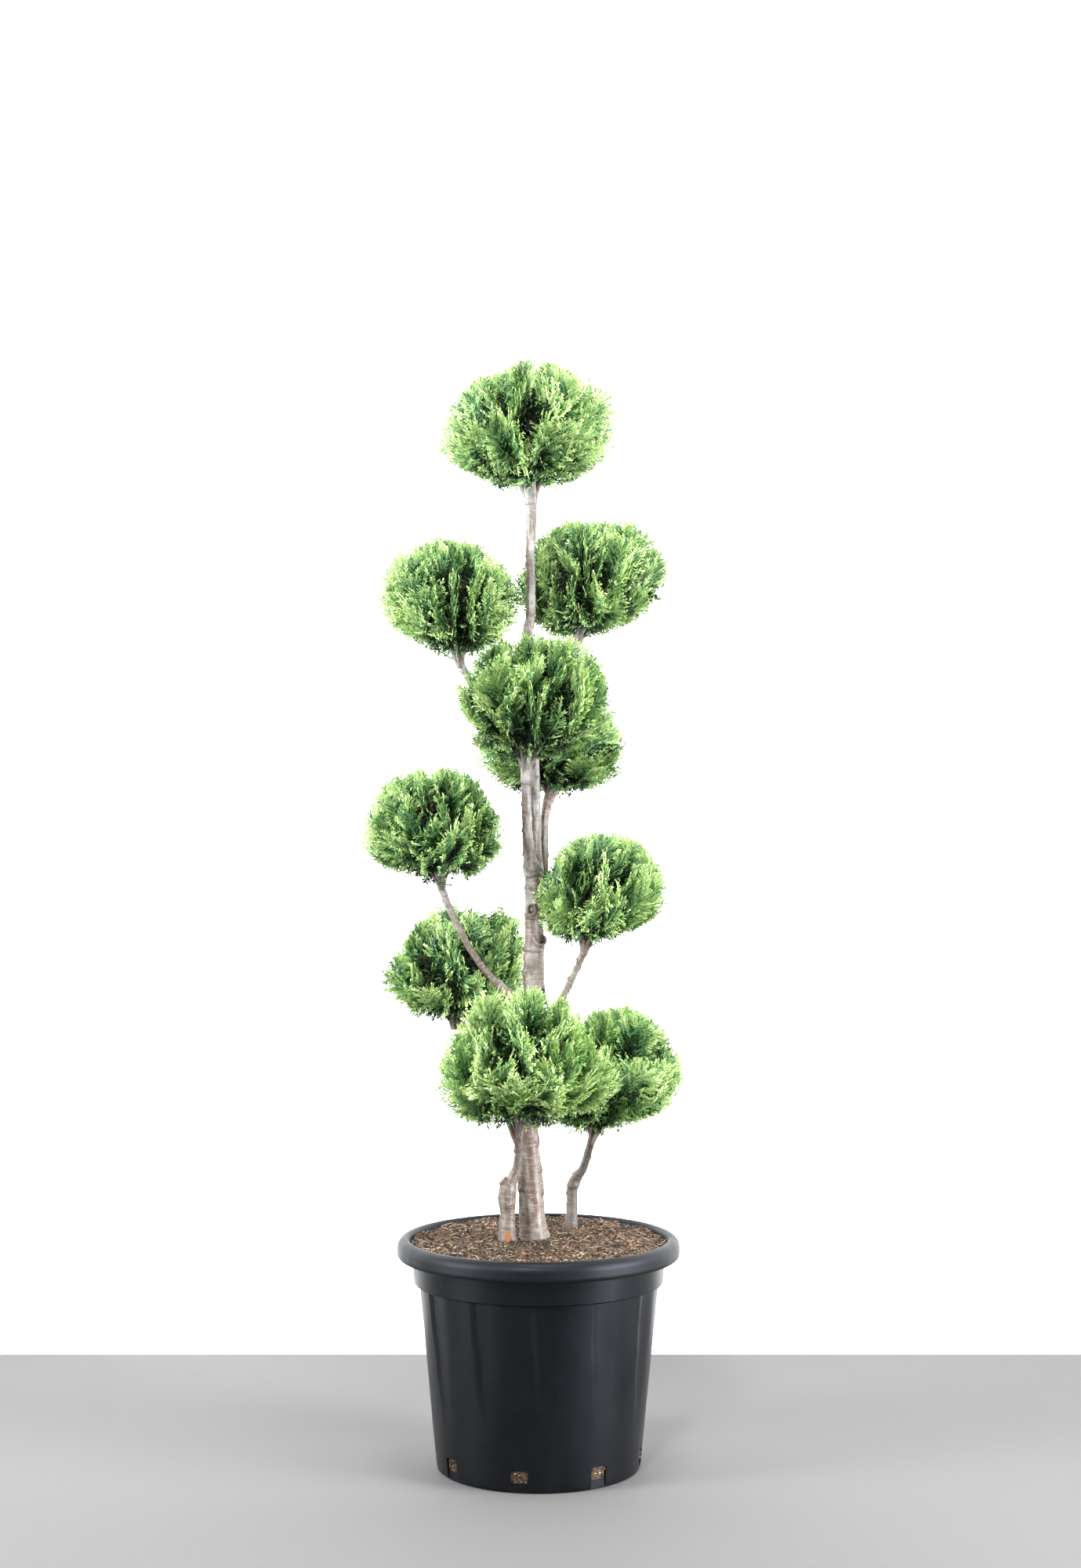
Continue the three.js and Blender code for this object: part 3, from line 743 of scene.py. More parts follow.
def make_trunk_cut():
    """The thick collar of a bough cut off high on the trunk, round a hollow darkened with painted shade."""
    sides = 48
    section = np.array(TRUNK_CUT_SECTION)
    rise = math.radians(TRUNK_CUT_RISE_DEG)
    turn = math.radians(TRUNK_CUT_BEARING_DEG)
    ahead = np.array([math.sin(turn) * math.cos(rise), -math.cos(turn) * math.cos(rise), math.sin(rise)])
    sideways = np.array([math.cos(turn), math.sin(turn), 0.0])
    upward = np.cross(sideways, ahead)
    places = []
    marks = []
    dark = []
    for index, (radius, distance) in enumerate(section):
        for step in range(sides):
            angle = 2 * math.pi * step / sides
            bump = noise.noise(Vector((distance * 0.4, math.cos(angle) * 1.4, math.sin(angle) * 1.4))) * 0.7
            round_it = math.cos(angle) * sideways + math.sin(angle) * upward
            out = (radius + bump * min(1.0, radius / 4)) * round_it
            places.append(np.array(TRUNK_CUT_PLACE) + out + (distance + bump) * ahead)
            marks.append((distance + 300, math.cos(angle) * radius, math.sin(angle) * radius))
            # Painted shade, deepest inside the hollow behind the lip.
            dark.append((0.0, 0.35, 1.0, 0.75)[(index > 5) + (index > 7) + (index > 11)])
    triangles = []
    for ring in range(len(section) - 1):
        for step in range(sides):
            a, b = ring * sides + step, ring * sides + (step + 1) % sides
            triangles += [(a, b, b + sides), (a, b + sides, a + sides)]
    cut = mesh_piece("trunk_cut", places, triangles, (bark, weathered_cut, fresh_cut), smooth=True)
    mesh = cut.data
    mesh.attributes.new("bark_place", "FLOAT_VECTOR", "POINT").data.foreach_set("vector", np.ravel(marks))
    mesh.attributes.new("bark_painted_shade", "FLOAT", "POINT").data.foreach_set("value", dark)
    return cut


def make_limb(name, stations):
    """One limb of the plant, joined from its tubes."""
    seed = sum(ord(letter) for letter in name) % 97
    tubes = [bark_tube(name, stations, seed)]
    if name == "trunk":
        tubes.append(make_trunk_cut())
    if name == "stem_front":
        tubes.append(bark_tube("knuckle", FRONT_KNUCKLE, seed + 3))
        tubes.append(bark_tube("spur", FRONT_SPUR, seed + 5))
        tubes.append(make_front_cut())
    piece = join_tubes(tubes, name + "_bark")
    piece.data.materials[0] = shaded_barks.get(name, bark)
    declare(piece, "bark", name)


# The foliage.


class Outline:
    """A cloud's surface as distances from its middle, looked up by direction."""

    BEARINGS = 72
    ELEVATIONS = 37

    def __init__(self, name):
        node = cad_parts[name]
        mesh = node.data
        vertices = [node.matrix_world @ v.co for v in mesh.vertices]
        faces = [list(p.vertices) for p in mesh.polygons]
        tree = BVHTree.FromPolygons(vertices, faces)
        low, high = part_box(name)
        self.middle = (np.array(low) + np.array(high)) / 2 / MM
        start = Vector(self.middle * MM)
        self.distance = np.zeros((self.ELEVATIONS, self.BEARINGS + 1))
        for row in range(self.ELEVATIONS):
            elevation = -math.pi / 2 + math.pi * row / (self.ELEVATIONS - 1)
            for column in range(self.BEARINGS + 1):
                bearing = 2 * math.pi * column / self.BEARINGS
                ray = Vector(direction(bearing, elevation))
                self.distance[row, column] = self.last_hit(tree, start, ray)

    @staticmethod
    def last_hit(tree, start, ray):
        """The distance in millimetres to where the ray finally leaves the cloud."""
        reach = 0.0
        origin = start
        for _ in range(6):
            hit = tree.ray_cast(origin, ray)[0]
            if hit is None:
                break
            reach = (hit - start).length
            origin = hit + ray * 1e-5
        return reach / MM

    def height(self, place):
        """How high a place stands, from 0 at the cloud's middle to 1 at its top."""
        return (place[2] - self.middle[2]) / self.distance[-1, 0]

    def reach(self, directions):
        """The surface's distance along unit directions, smoothly between the rays."""
        elevation = np.arcsin(np.clip(directions[:, 2], -1, 1))
        bearing = np.arctan2(directions[:, 1], directions[:, 0]) % (2 * np.pi)
        row = (elevation + np.pi / 2) / np.pi * (self.ELEVATIONS - 1)
        column = bearing / (2 * np.pi) * self.BEARINGS
        r0 = np.clip(row.astype(int), 0, self.ELEVATIONS - 2)
        c0 = np.clip(column.astype(int), 0, self.BEARINGS - 1)
        fr = row - r0
        fc = column - c0
        d = self.distance
        low = d[r0, c0] * (1 - fc) + d[r0, c0 + 1] * fc
        high = d[r0 + 1, c0] * (1 - fc) + d[r0 + 1, c0 + 1] * fc
        return low * (1 - fr) + high * fr

    def share(self, places):
        """How far out places lie, as a share of the surface's distance from the middle."""
        offset = places - self.middle
        length = np.maximum(np.linalg.norm(offset, axis=1), 1e-6)
        return length / self.reach(offset / length[:, None])


class Pattern:
    """One flat frond, as if pressed: places across, along and off its plane in millimetres, triangles, and
    for each triangle its finger's number and its tone, from 0 at the frond's base to 1 at its rim."""

    LENGTH = 80.0

    def __init__(self, rng, coarse):
        self.places = []
        self.triangles = []
        self.fingers = []
        self.tones = []
        self.coarse = coarse
        self.number = 0
        spacing = SHOOT_SPACING * (1.2 if coarse else 1)
        count = int((self.LENGTH - 14) / spacing)
        for i in range(2 * count):
            self.add_shoot(rng, 4 + i * spacing / 2, 1 if i % 2 else -1)
        self.add_shoot(rng, self.LENGTH - 16, 0)
        self.add_axis()
        self.places = np.array(self.places)
        self.triangles = np.array(self.triangles, dtype=np.int32)
        self.fingers = np.array(self.fingers, dtype=np.int32)
        self.tones = np.array(self.tones)

    def add_face(self, corners, *tones):
        """A flat fan of triangles from its first corner, each with its tone."""
        first = len(self.places)
        self.places.extend(corners)
        for i in range(1, len(corners) - 1):
            self.triangles.append((first, first + i, first + i + 1))
            self.fingers.append(self.number)
            self.tones.append(tones[min(i, len(tones)) - 1])

    def add_axis(self):
        """The frond's own stalk, which tapers towards its tip."""
        self.number += 1
        half = np.array([1.1, 0, 0])
        low, high = np.array([0, 0, -0.3]), np.array([0, self.LENGTH - 14, -0.3])
        self.add_face([low - half, low + half, high + half * 0.4, high - half * 0.4], 0.1)

    def add_shoot(self, rng, y, side):
        """A shoot that leaves the axis at y and curves forward, with fingers. Side 0 is the axis's end."""
        self.number += 1
        t = y / self.LENGTH
        spread = FROND_HALF_WIDTH * smoothstep(-0.3, 0.5, t) * (1 - 0.4 * smoothstep(0.6, 1.0, t))
        angle = math.radians(52 - 18 * t + rng.uniform(-6, 6)) * side
        reach = 15 if side == 0 else spread / math.sin(abs(angle)) * rng.uniform(0.8, 1.1)
        shape = (y, angle, rng.uniform(0.25, 0.5), rng.uniform(-0.15, 0.15))
        tone = 0.26 * t + rng.uniform(-0.24, 0.2)
        self.add_core(shape, reach, tone)
        spacing = FINGER_SPACING * (1.5 if self.coarse else 1)
        steps = max(2, int(reach / spacing))
        for step in range(steps):
            for flank in (-1, 1):
                u = (step + 0.5 + 0.25 * flank + rng.uniform(-0.1, 0.1)) / steps
                here, heading = self.on_shoot(*shape, reach * u)
                swing = flank * math.radians(rng.uniform(*FINGER_ANGLE_DEG))
                cos, sin = math.cos(swing), math.sin(swing)
                aside = np.array([heading[0] * cos - heading[1] * sin, heading[0] * sin + heading[1] * cos])
                long = (FINGER_LENGTH + (FINGER_END_LENGTH - FINGER_LENGTH) * u) * rng.uniform(0.75, 1.2)
                self.add_finger(rng, here, aside, long, tone - 0.1 + 0.75 * u * u + rng.uniform(-0.05, 0.05))
        here, heading = self.on_shoot(*shape, reach - 1)
        self.add_finger(rng, here, heading, FINGER_END_LENGTH * 1.1, tone + 0.66)

    @staticmethod
    def on_shoot(y, angle, bend, tilt, run):
        """A place on a shoot, run millimetres from the axis, and the shoot's heading there."""
        share = min(run / 34, 1.2)
        middle = angle * (1 - bend * share / 2)
        turn = angle * (1 - bend * share)
        here = np.array([math.sin(middle) * run, y + math.cos(middle) * run, tilt * run])
        return here, np.array([math.sin(turn), math.cos(turn)])

    def add_core(self, shape, reach, tone):
        """The shoot's narrow middle, in two lengths that follow its curve."""
        for start, end, shade in ((0, 0.5, 0.0), (0.5, 1.0, 0.2)):
            corners = []
            for share, order in ((start, 1), (end, -1)):
                here, heading = self.on_shoot(*shape, reach * share)
                across = np.array([-heading[1], heading[0], 0]) * SHOOT_HALF_WIDTH * order
                corners.extend([here - across, here + across])
            self.add_face(corners, tone + shade)

    def add_finger(self, rng, base, heading, long, tone):
        """A narrow blunt finger of scale leaves: painted shade darkens its sides, the left one most, as
        between fingers, and its middle up to the end is a little brighter.
        """
        if not self.coarse:
            self.number += 1
        forward = np.array([heading[0], heading[1], rng.uniform(-0.12, 0.16)]) * long
        width = FINGER_WIDTH * rng.uniform(0.85, 1.2) * (1.5 if self.coarse else 1)
        across = np.array([-heading[1], heading[0], rng.uniform(-0.35, 0.35)]) * width / 2
        if self.coarse:
            widest = base + forward * 0.6
            self.add_face([base, widest - across, base + forward, widest + across], tone)
            return
        corners = [
            base,
            base + forward * 0.72 - across,
            base + forward - across * 0.45,
            base + forward * 0.98 + across * 0.45,
            base + forward * 0.66 + across,
        ]
        # Painted shade on the finger's left side, lighter on its right.
        self.add_face(corners, tone - 0.3, tone + 0.1, tone - 0.08)


def lay_frond(pattern, base, bend, tip, normal, width, cup, wave):
    """The pattern's places in the cloud, along a bent axis from base to tip, in the plane across normal.
    The frond is cupped across its axis and waves along it."""
    flat = pattern.places
    t = (flat[:, 1] / pattern.LENGTH)[:, None]
    axis = (1 - t) ** 2 * base + 2 * t * (1 - t) * bend + t**2 * tip
    heading = 2 * (1 - t) * (bend - base) + 2 * t * (tip - bend)
    heading /= np.maximum(np.linalg.norm(heading, axis=1), 1e-9)[:, None]
    across = np.cross(heading, normal)
    across /= np.maximum(np.linalg.norm(across, axis=1), 1e-9)[:, None]
    out = np.cross(across, heading)
    x = flat[:, :1] * width
    z = flat[:, 2:3] + cup * x * x / FROND_HALF_WIDTH + wave[0] * t * np.sin(7 * t + wave[1] + 0.06 * x)
    return axis + across * x + out * z


def group_by_direction(rng, start, targets, count):
    """Splits targets into bunches that lie in like directions from a place."""
    headings = targets - start
    headings /= np.linalg.norm(headings, axis=1)[:, None]
    centres = headings[rng.choice(len(targets), min(count, len(targets)), replace=False)]
    for _ in range(8):
        nearest = np.argmax(headings @ centres.T, axis=1)
        for i in range(len(centres)):
            if np.any(nearest == i):
                centres[i] = unit(headings[nearest == i].mean(axis=0))
    return [np.flatnonzero(nearest == i) for i in range(len(centres)) if np.any(nearest == i)]


# How a limb's end divides: how many twigs at each forking, and how far towards their tips they run before
# the next one. Past the last forking the fronds of one twig lie in one plane, as a fan.
FORKS = [(9, 0.27), (3, 0.34), (3, 0.4)]
VASE_TWIG = 0.44


def branch(rng, start, heading, targets, numbers, level, radius, trail, twigs, grown):
    """Grows twigs from a place towards its targets, forking on the way, and records each fan."""
    if level == len(FORKS) or len(numbers) < 3:
        grown.append((numbers, trail, radius))
        return
    count, share = FORKS[level]
    for bunch in group_by_direction(rng, start, targets[numbers], count):
        own = numbers[bunch]
        goal = targets[own].mean(axis=0)
        straight = (goal - start) * share
        run = np.linalg.norm(straight)
        rise = 0.6 if level == 0 else 0.2
        end = start + straight + heading * run * rise + rng.normal(0, 1.2, 3)
        out = unit(straight - heading * np.dot(straight, heading))
        thick = radius * (VASE_TWIG if level == 0 else 0.85)
        thin = radius * (0.3 if level == 0 else max(0.4, math.sqrt(len(own) / len(numbers)) * 0.9))
        begin = start + out * radius * 0.3 if level == 0 else start
        bend = begin + heading * run * 0.66 + out * run * (0.14 if level == 0 else 0.0)
        twigs.append((begin, bend, end, thick, thin, level))
        branch(rng, end, unit(end - bend), targets, own, level + 1, thin, [*trail, end], twigs, grown)


def tip_places(rng, outline, foot, count, depth):
    """Places spread evenly over a cloud's surface, or a share of the way there from its foot."""
    golden = math.pi * (3 - math.sqrt(5))
    turn = rng.uniform(0, 2 * math.pi)
    found = []
    total = int(count * 1.15)
    for i in range(total):
        height = 1 - 2 * (i + 0.5) / total
        flat = math.sqrt(1 - height * height)
        bearing = i * golden + turn
        outward = np.array([flat * math.cos(bearing), flat * math.sin(bearing), height])
        outward = unit(outward + rng.normal(0, 0.06, 3))
        share = rng.uniform(*depth)
        place = outline.middle + outward * outline.reach(outward[None])[0]
        if np.linalg.norm(place - foot) > FOOT_CLEARANCE and place[2] > foot[2] + 6:
            found.append(foot + (place - foot) * share)
    return np.array(found[:count] if len(found) > count else found)


def leaf_slots(rng, tones, depth, lively):
    """Which leaf colour each triangle takes: brighter towards a frond's rim, towards the cloud's surface and
    on lively fronds. The darkening deeper in the cloud is partly painted shade, partly the inner growth's
    greener colour."""
    value = LEAF_VALUE + TONE_GAIN * tones + DEPTH_GAIN * (depth - 0.75) + lively
    value += rng.normal(0, 0.1, len(tones))
    return np.clip(np.round(value), 0, len(LEAF_COLOURS) - 1).astype(np.int32)


def fan_plane(rng, foot, goal, start):
    """The normal of a fan's plane: mostly upright and pointing away from the foot, but turned at random."""
    level = (goal - foot) * [1, 1, 0]
    if np.linalg.norm(level) > 24:
        sideways = np.cross([0, 0, 1.0], level)
    else:
        sideways = rng.normal(0, 1, 3) * [1, 1, 0]
    along = unit(goal - start)
    normal = unit(sideways - along * np.dot(sideways, along))
    turn = math.radians(rng.normal(0, FAN_TURN_DEG))
    return normal * math.cos(turn) + np.cross(along, normal) * math.sin(turn)


def frond_axis(rng, outline, tip, trail, length, overshoot):
    """The base, bend and tip of a frond that rises from near its twig's end to its tip."""
    last = trail[-1]
    height = smoothstep(-0.9, 0.1, outline.height(tip))
    straight = unit(tip - last)
    along = unit(straight + np.array([0, 0, UPRIGHT * height * (1 - max(straight[2], 0))]))
    base = tip - along * length
    near = unit(base - last) * min(np.linalg.norm(base - last), 0.55 * np.linalg.norm(tip - last))
    base = last + near
    along = unit(tip - base)
    end = tip + along * overshoot
    middle = (base + end) / 2
    sag = np.array([0, 0, rng.uniform(1, 6)])
    return base, middle - sag + rng.normal(0, 1.5, 3), end


class Cloud:
    """One cloud of foliage: fans of fronds that grow from its limb's end and are sheared at its outline."""

    def __init__(self, name, patterns, coarse_patterns, twigs):
        carrier, seed, self.vigour = CARRIERS[name]
        stations = LIMBS[carrier]
        self.name = name
        self.patterns = patterns
        self.coarse_patterns = coarse_patterns
        self.twigs = twigs
        self.rng = np.random.default_rng(seed)
        self.outline = Outline("cloud_" + name)
        self.foot = np.array(stations[-2][:3], dtype=float)
        self.heading = unit(np.array(stations[-1][:3]) - self.foot)
        self.radius = stations[-2][3]
        self.places = []
        self.triangles = []
        self.slots = []
        self.count = 0

    def grow(self):
        """Grows the twigs, the fans of fronds on them, and the collar."""
        low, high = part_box("cloud_" + self.name)
        size = ((high[0] - low[0]) * (high[2] - low[2])) ** 0.5 / MM / 2 / CLOUD_HALF_WIDTH
        outer = tip_places(self.rng, self.outline, self.foot, int(OUTER_FRONDS * size**2), OUTER_DEPTH)
        inner = tip_places(self.rng, self.outline, self.foot, int(INNER_FRONDS * size**2), INNER_DEPTH)
        targets = np.concatenate([outer, inner])
        numbers = np.arange(len(targets))
        start = self.foot - self.heading * 20
        trail = [self.foot]
        grown = []
        branch(self.rng, start, self.heading, targets, numbers, 0, self.radius, trail, self.twigs, grown)
        for numbers, trail, radius in grown:
            self.add_fan(targets, len(outer), numbers, trail, radius)
        self.add_collar()

    def add_fan(self, targets, outer_count, numbers, trail, radius):
        """The fronds of one twig, which lie nearly in one plane."""
        rng = self.rng
        middle = targets[numbers].mean(axis=0)
        normal = fan_plane(rng, self.foot, middle, trail[-1])
        lively = self.vigour + rng.normal(0, 0.25)
        high = smoothstep(0.0, 0.7, self.outline.height(middle))
        limit = CLIP_LIMIT + FAN_CLIP_JITTER * (1 - 0.6 * high) * rng.normal()
        for number in numbers:
            deep = number >= outer_count
            tip = targets[number]
            if not deep:
                tip = tip - normal * np.dot(tip - trail[-1], normal) * FAN_FLATNESS
                tip = tip + (middle - tip) * FAN_GATHER
            length = rng.uniform(*FROND_LENGTH) * (0.8 if deep else 1.0)
            axis = frond_axis(rng, self.outline, tip, trail, length, 0 if deep else OVERSHOOT)
            away = trail[-1] + unit(trail[-1] - self.foot) * 0.3 * np.linalg.norm(axis[0] - trail[-1])
            self.twigs.append((trail[-1], away, axis[0], max(0.8, radius * 0.7), 0.6, len(FORKS)))
            chosen = self.coarse_patterns if deep else self.patterns
            pattern = chosen[rng.integers(len(chosen))]
            tilted = unit(rng.normal(0, 1, 3) if deep else normal + rng.normal(0, 0.14, 3))
            # Painted shade darkens inner fronds by DEEP_SHADE.
            mood = lively + rng.normal(0, 0.3) - (DEEP_SHADE if deep else 0)
            self.add_frond(pattern, axis, tilted, mood, limit, DEEP_WIDTH if deep else 1.0)

    def add_collar(self):
        """Short dull fronds round the place where the limb enters the cloud."""
        rng = self.rng
        for i in range(COLLAR_FRONDS):
            bearing = 2 * math.pi * (i + rng.uniform(-0.3, 0.3)) / COLLAR_FRONDS
            out = direction(bearing, math.radians(rng.uniform(12, 62)))
            base = self.foot + self.heading * rng.uniform(2, 16) + out * 4
            tip = base + out * rng.uniform(48, 66)
            bend = (base + tip) / 2 - [0, 0, 5.0]
            normal = fan_plane(rng, self.foot, tip, base)
            pattern = self.patterns[rng.integers(len(self.patterns))]
            mood = self.vigour + rng.normal(-0.7, 0.3)
            self.add_frond(pattern, (base, bend, tip), normal, mood, 1.05, 1.0)

    def add_frond(self, pattern, axis, normal, lively, limit, breadth):
        """Lays one frond in the cloud, and shears off the fingers that reach out of it."""
        rng = self.rng
        width = breadth * rng.uniform(0.88, 1.15) * (-1 if rng.uniform() < 0.5 else 1)
        wave = (rng.uniform(0, 3.5), rng.uniform(0, 6.3))
        along = unit(axis[2] - axis[0])
        normal = unit(normal - along * np.dot(along, normal))
        places = lay_frond(pattern, *axis, normal, width, rng.uniform(-0.16, 0.16), wave)
        depth = self.outline.share(places[pattern.triangles].mean(axis=1))
        low = smoothstep(0.3, -0.5, self.outline.height(axis[2]))
        stray = STRAY_REACH if rng.random() < 0.08 + 0.35 * low else 0.0
        uneven = np.clip(rng.normal(0, 1, pattern.fingers.max() + 1), -2, 2)
        limits = limit + stray + UNDERSIDE_REACH * low + SHOOT_CLIP_JITTER * (0.7 + low) * uneven
        kept = depth < np.minimum(limits, MOST_REACH)[pattern.fingers]
        used, compact = np.unique(pattern.triangles[kept], return_inverse=True)
        self.places.append(places[used])
        self.triangles.append(compact.reshape(-1, 3) + self.count)
        self.slots.append(leaf_slots(rng, pattern.tones[kept], depth[kept], lively))
        self.count += len(used)

    def join_leaves(self):
        """The cloud's fronds as one piece."""
        places = np.concatenate(self.places)
        triangles = np.concatenate(self.triangles)
        slots = np.concatenate(self.slots)
        leaves = mesh_piece("leaves_" + self.name, places, triangles, leaf_materials, slots)
        declare(leaves, "foliage", "cloud_" + self.name)


def bent(start, bend, end, thick, thin, t):
    """A place and radius on a bent twig."""
    centre = (1 - t) ** 2 * start + 2 * t * (1 - t) * bend + t * t * end
    return centre, thick + (thin - thick) * t


def make_vases(twigs):
    """The limbs that spread from every limb's end, as barked tubes joined into one piece."""
    tubes = []
    for number, (start, bend, end, thick, thin, level) in enumerate(twigs):
        if level == 0:
            stations = []
            for t in (0, 0.25, 0.5, 0.75, 1):
                centre, radius = bent(start, bend, end, thick, thin, t)
                stations.append([*centre, radius])
            tubes.append(bark_tube("vase_limb", stations, number % 31))
    declare(join_tubes(tubes, "vase_limbs"), "bark")


def make_twigs(twigs):
    """The thinner twigs as one piece of bent cones."""
    places = []
    triangles = []
    slots = []
    for start, bend, end, thick, thin, level in twigs:
        if level == 0:
            continue
        rings = 3 if level == len(FORKS) else 6
        sides = 4 if level == len(FORKS) else 7
        first = len(places)
        line = unit(end - start)
        side = unit(np.cross(line, [0.31, 0.17, 0.93]))
        other = np.cross(line, side)
        for ring in range(rings):
            centre, radius = bent(start, bend, end, thick, thin, ring / (rings - 1))
            for i in range(sides):
                angle = 2 * math.pi * i / sides
                places.append(centre + (side * math.cos(angle) + other * math.sin(angle)) * radius)
        for ring in range(rings - 1):
            for i in range(sides):
                a = first + ring * sides + i
                b = first + ring * sides + (i + 1) % sides
                triangles.append((a, b, b + sides))
                triangles.append((a, b + sides, a + sides))
                slots.extend([min(level, 2) - 1] * 2)
    declare(mesh_piece("twigs", places, triangles, twig_materials, slots, smooth=True), "bark")


def make_foliage():
    """All clouds, from a few pressed patterns, and the twigs that bear them."""
    rng = np.random.default_rng(1307)
    patterns = [Pattern(rng, False) for _ in range(10)]
    coarse_patterns = [Pattern(rng, True) for _ in range(4)]
    twigs = []
    for name in CARRIERS:
        cloud = Cloud(name, patterns, coarse_patterns, twigs)
        cloud.grow()
        cloud.join_leaves()
    make_vases(twigs)
    make_twigs(twigs)


# The pot and the soil.


def lathe(name, profile, steps):
    """A profile of [radius, z] turned round the Z axis."""
    bpy.ops.mesh.primitive_circle_add(vertices=3, radius=0.01)
    piece = bpy.context.object
    piece.name = name
    mesh = piece.data
    mesh.name = name
    mesh.clear_geometry()
    mesh.from_pydata(
        [(0, -radius * MM, z * MM) for radius, z in profile],
        [(i, i + 1) for i in range(len(profile) - 1)],
        [],
    )
    select_only(piece)
    bpy.ops.object.mode_set(mode="EDIT")
    bpy.ops.mesh.select_all(action="SELECT")
    bpy.ops.mesh.spin(steps=steps, angle=2 * math.pi, center=(0, 0, 0), axis=(0, 0, 1))
    bpy.ops.mesh.select_all(action="SELECT")
    bpy.ops.mesh.remove_doubles(threshold=1e-6)
    bpy.ops.mesh.normals_make_consistent(inside=False)
    bpy.ops.object.mode_set(mode="OBJECT")
    return piece


def rounded(profile, spacing):
    """The profile with points no further apart than spacing, so that it can carry relief."""
    fine = [profile[0]]
    for (r0, z0), (r1, z1) in zip(profile, profile[1:]):
        steps = max(1, int(math.hypot(r1 - r0, z1 - z0) / spacing))
        fine.extend((r0 + (r1 - r0) * i / steps, z0 + (z1 - z0) * i / steps) for i in range(1, steps + 1))
    return fine


def arc(centre, radius, start_deg, end_deg, steps):
    """Points on a circle in the profile's plane."""
    return [
        (
            centre[0] + radius * math.cos(math.radians(start_deg + (end_deg - start_deg) * i / steps)),
            centre[1] + radius * math.sin(math.radians(start_deg + (end_deg - start_deg) * i / steps)),
        )
        for i in range(steps + 1)
    ]


def make_pot():
    """The pot, turned from its profile, with flutes pressed in and the drain holes cut."""
    section = [
        (0.0, 0.0),
        (POT_BASE_RADIUS - 4, 0.0),
        *arc((POT_BASE_RADIUS - 3.5, 3.5), 3.5, -80, 0, 4),
        *rounded([(POT_BASE_RADIUS + 0.4, 6), (POT_BODY_RADIUS, COLLAR_BOTTOM - 2)], 12),
        (COLLAR_BOTTOM_RADIUS - 1.5, COLLAR_BOTTOM - 0.8),
        (COLLAR_BOTTOM_RADIUS, COLLAR_BOTTOM + 0.8),
        *rounded([(COLLAR_BOTTOM_RADIUS + 0.1, COLLAR_BOTTOM + 2), (COLLAR_TOP_RADIUS, COLLAR_TOP - 1)], 16),
        (COLLAR_TOP_RADIUS + 1.5, COLLAR_TOP + 0.4),
        (RIM_RADIUS - 5, COLLAR_TOP + 0.8),
        *arc((RIM_RADIUS - 5.5, COLLAR_TOP + 6.5), 5.5, -70, 0, 4),
        *rounded([(RIM_RADIUS, COLLAR_TOP + 8), (RIM_RADIUS, POT_HEIGHT - 13)], 5),
        *arc((RIM_RADIUS - 12.5, POT_HEIGHT - 12.5), 12.5, 5, 85, 8),
        (RIM_INNER_RADIUS + 3, POT_HEIGHT - 0.6),
        (RIM_INNER_RADIUS + 0.8, POT_HEIGHT - 2.5),
        (RIM_INNER_RADIUS, POT_HEIGHT - 6),
        (COLLAR_TOP_RADIUS - POT_WALL, COLLAR_TOP),
        (COLLAR_BOTTOM_RADIUS - POT_WALL, COLLAR_BOTTOM + 3),
        (POT_BODY_RADIUS - POT_WALL - FLUTE_DEPTH, COLLAR_BOTTOM),
        (POT_BASE_RADIUS - POT_WALL, POT_FLOOR),
        (0.0, POT_FLOOR),
    ]
    pot = lathe("pot_shell", section, 240)
    press_flutes(pot)
    cut_drains(pot)
    select_only(pot)
    bpy.ops.object.shade_smooth_by_angle(angle=math.radians(38))
    pot.data.materials.clear()
    pot.data.materials.append(pot_skin)
    declare(pot, "pot", "pot")


def press_flutes(pot):
    """Presses shallow upright panels into the pot's body, deepest just under the collar."""
    pitch = 360 / FLUTES
    for vertex in pot.data.vertices:
        x, y, z = (c / MM for c in vertex.co)
        radius = math.hypot(x, y)
        body = POT_BASE_RADIUS + (POT_BODY_RADIUS - POT_BASE_RADIUS) * z / COLLAR_BOTTOM
        if not (FLUTE_START < z < COLLAR_BOTTOM - 1 and abs(radius - body) < 1.5):
            continue
        angle = (math.degrees(math.atan2(x, -y)) - FLUTE_TURN_DEG) % pitch
        half = pitch / 4 * (0.55 + 0.45 * smoothstep(FLUTE_START, COLLAR_BOTTOM, z))
        across = (angle - pitch / 4) / half
        depth = FLUTE_DEPTH * smoothstep(-1.05, -0.9, across) * smoothstep(1.1, -0.5, across)
        depth *= smoothstep(FLUTE_START, COLLAR_BOTTOM * 0.8, z)
        shrink = (radius - depth) / radius
        vertex.co.x *= shrink
        vertex.co.y *= shrink


def cut_block(pot, place, size, angle, edge):
    """Cuts a block out of the pot, turned by angle and with its edges rounded."""
    bpy.ops.mesh.primitive_cube_add(
        size=1,
        location=place * MM,
        rotation=(0, 0, angle),
        scale=[side * MM for side in size],
    )
    block = bpy.context.object
    bpy.ops.object.transform_apply(location=True, rotation=True, scale=True)
    bevel = block.modifiers.new("rounded", "BEVEL")
    bevel.width = edge * MM
    bevel.segments = 3
    bpy.ops.object.modifier_apply(modifier=bevel.name)
    cut = pot.modifiers.new("drain", "BOOLEAN")
    cut.operation = "DIFFERENCE"
    cut.object = block
    select_only(pot)
    bpy.ops.object.modifier_apply(modifier=cut.name)
    bpy.data.objects.remove(block)


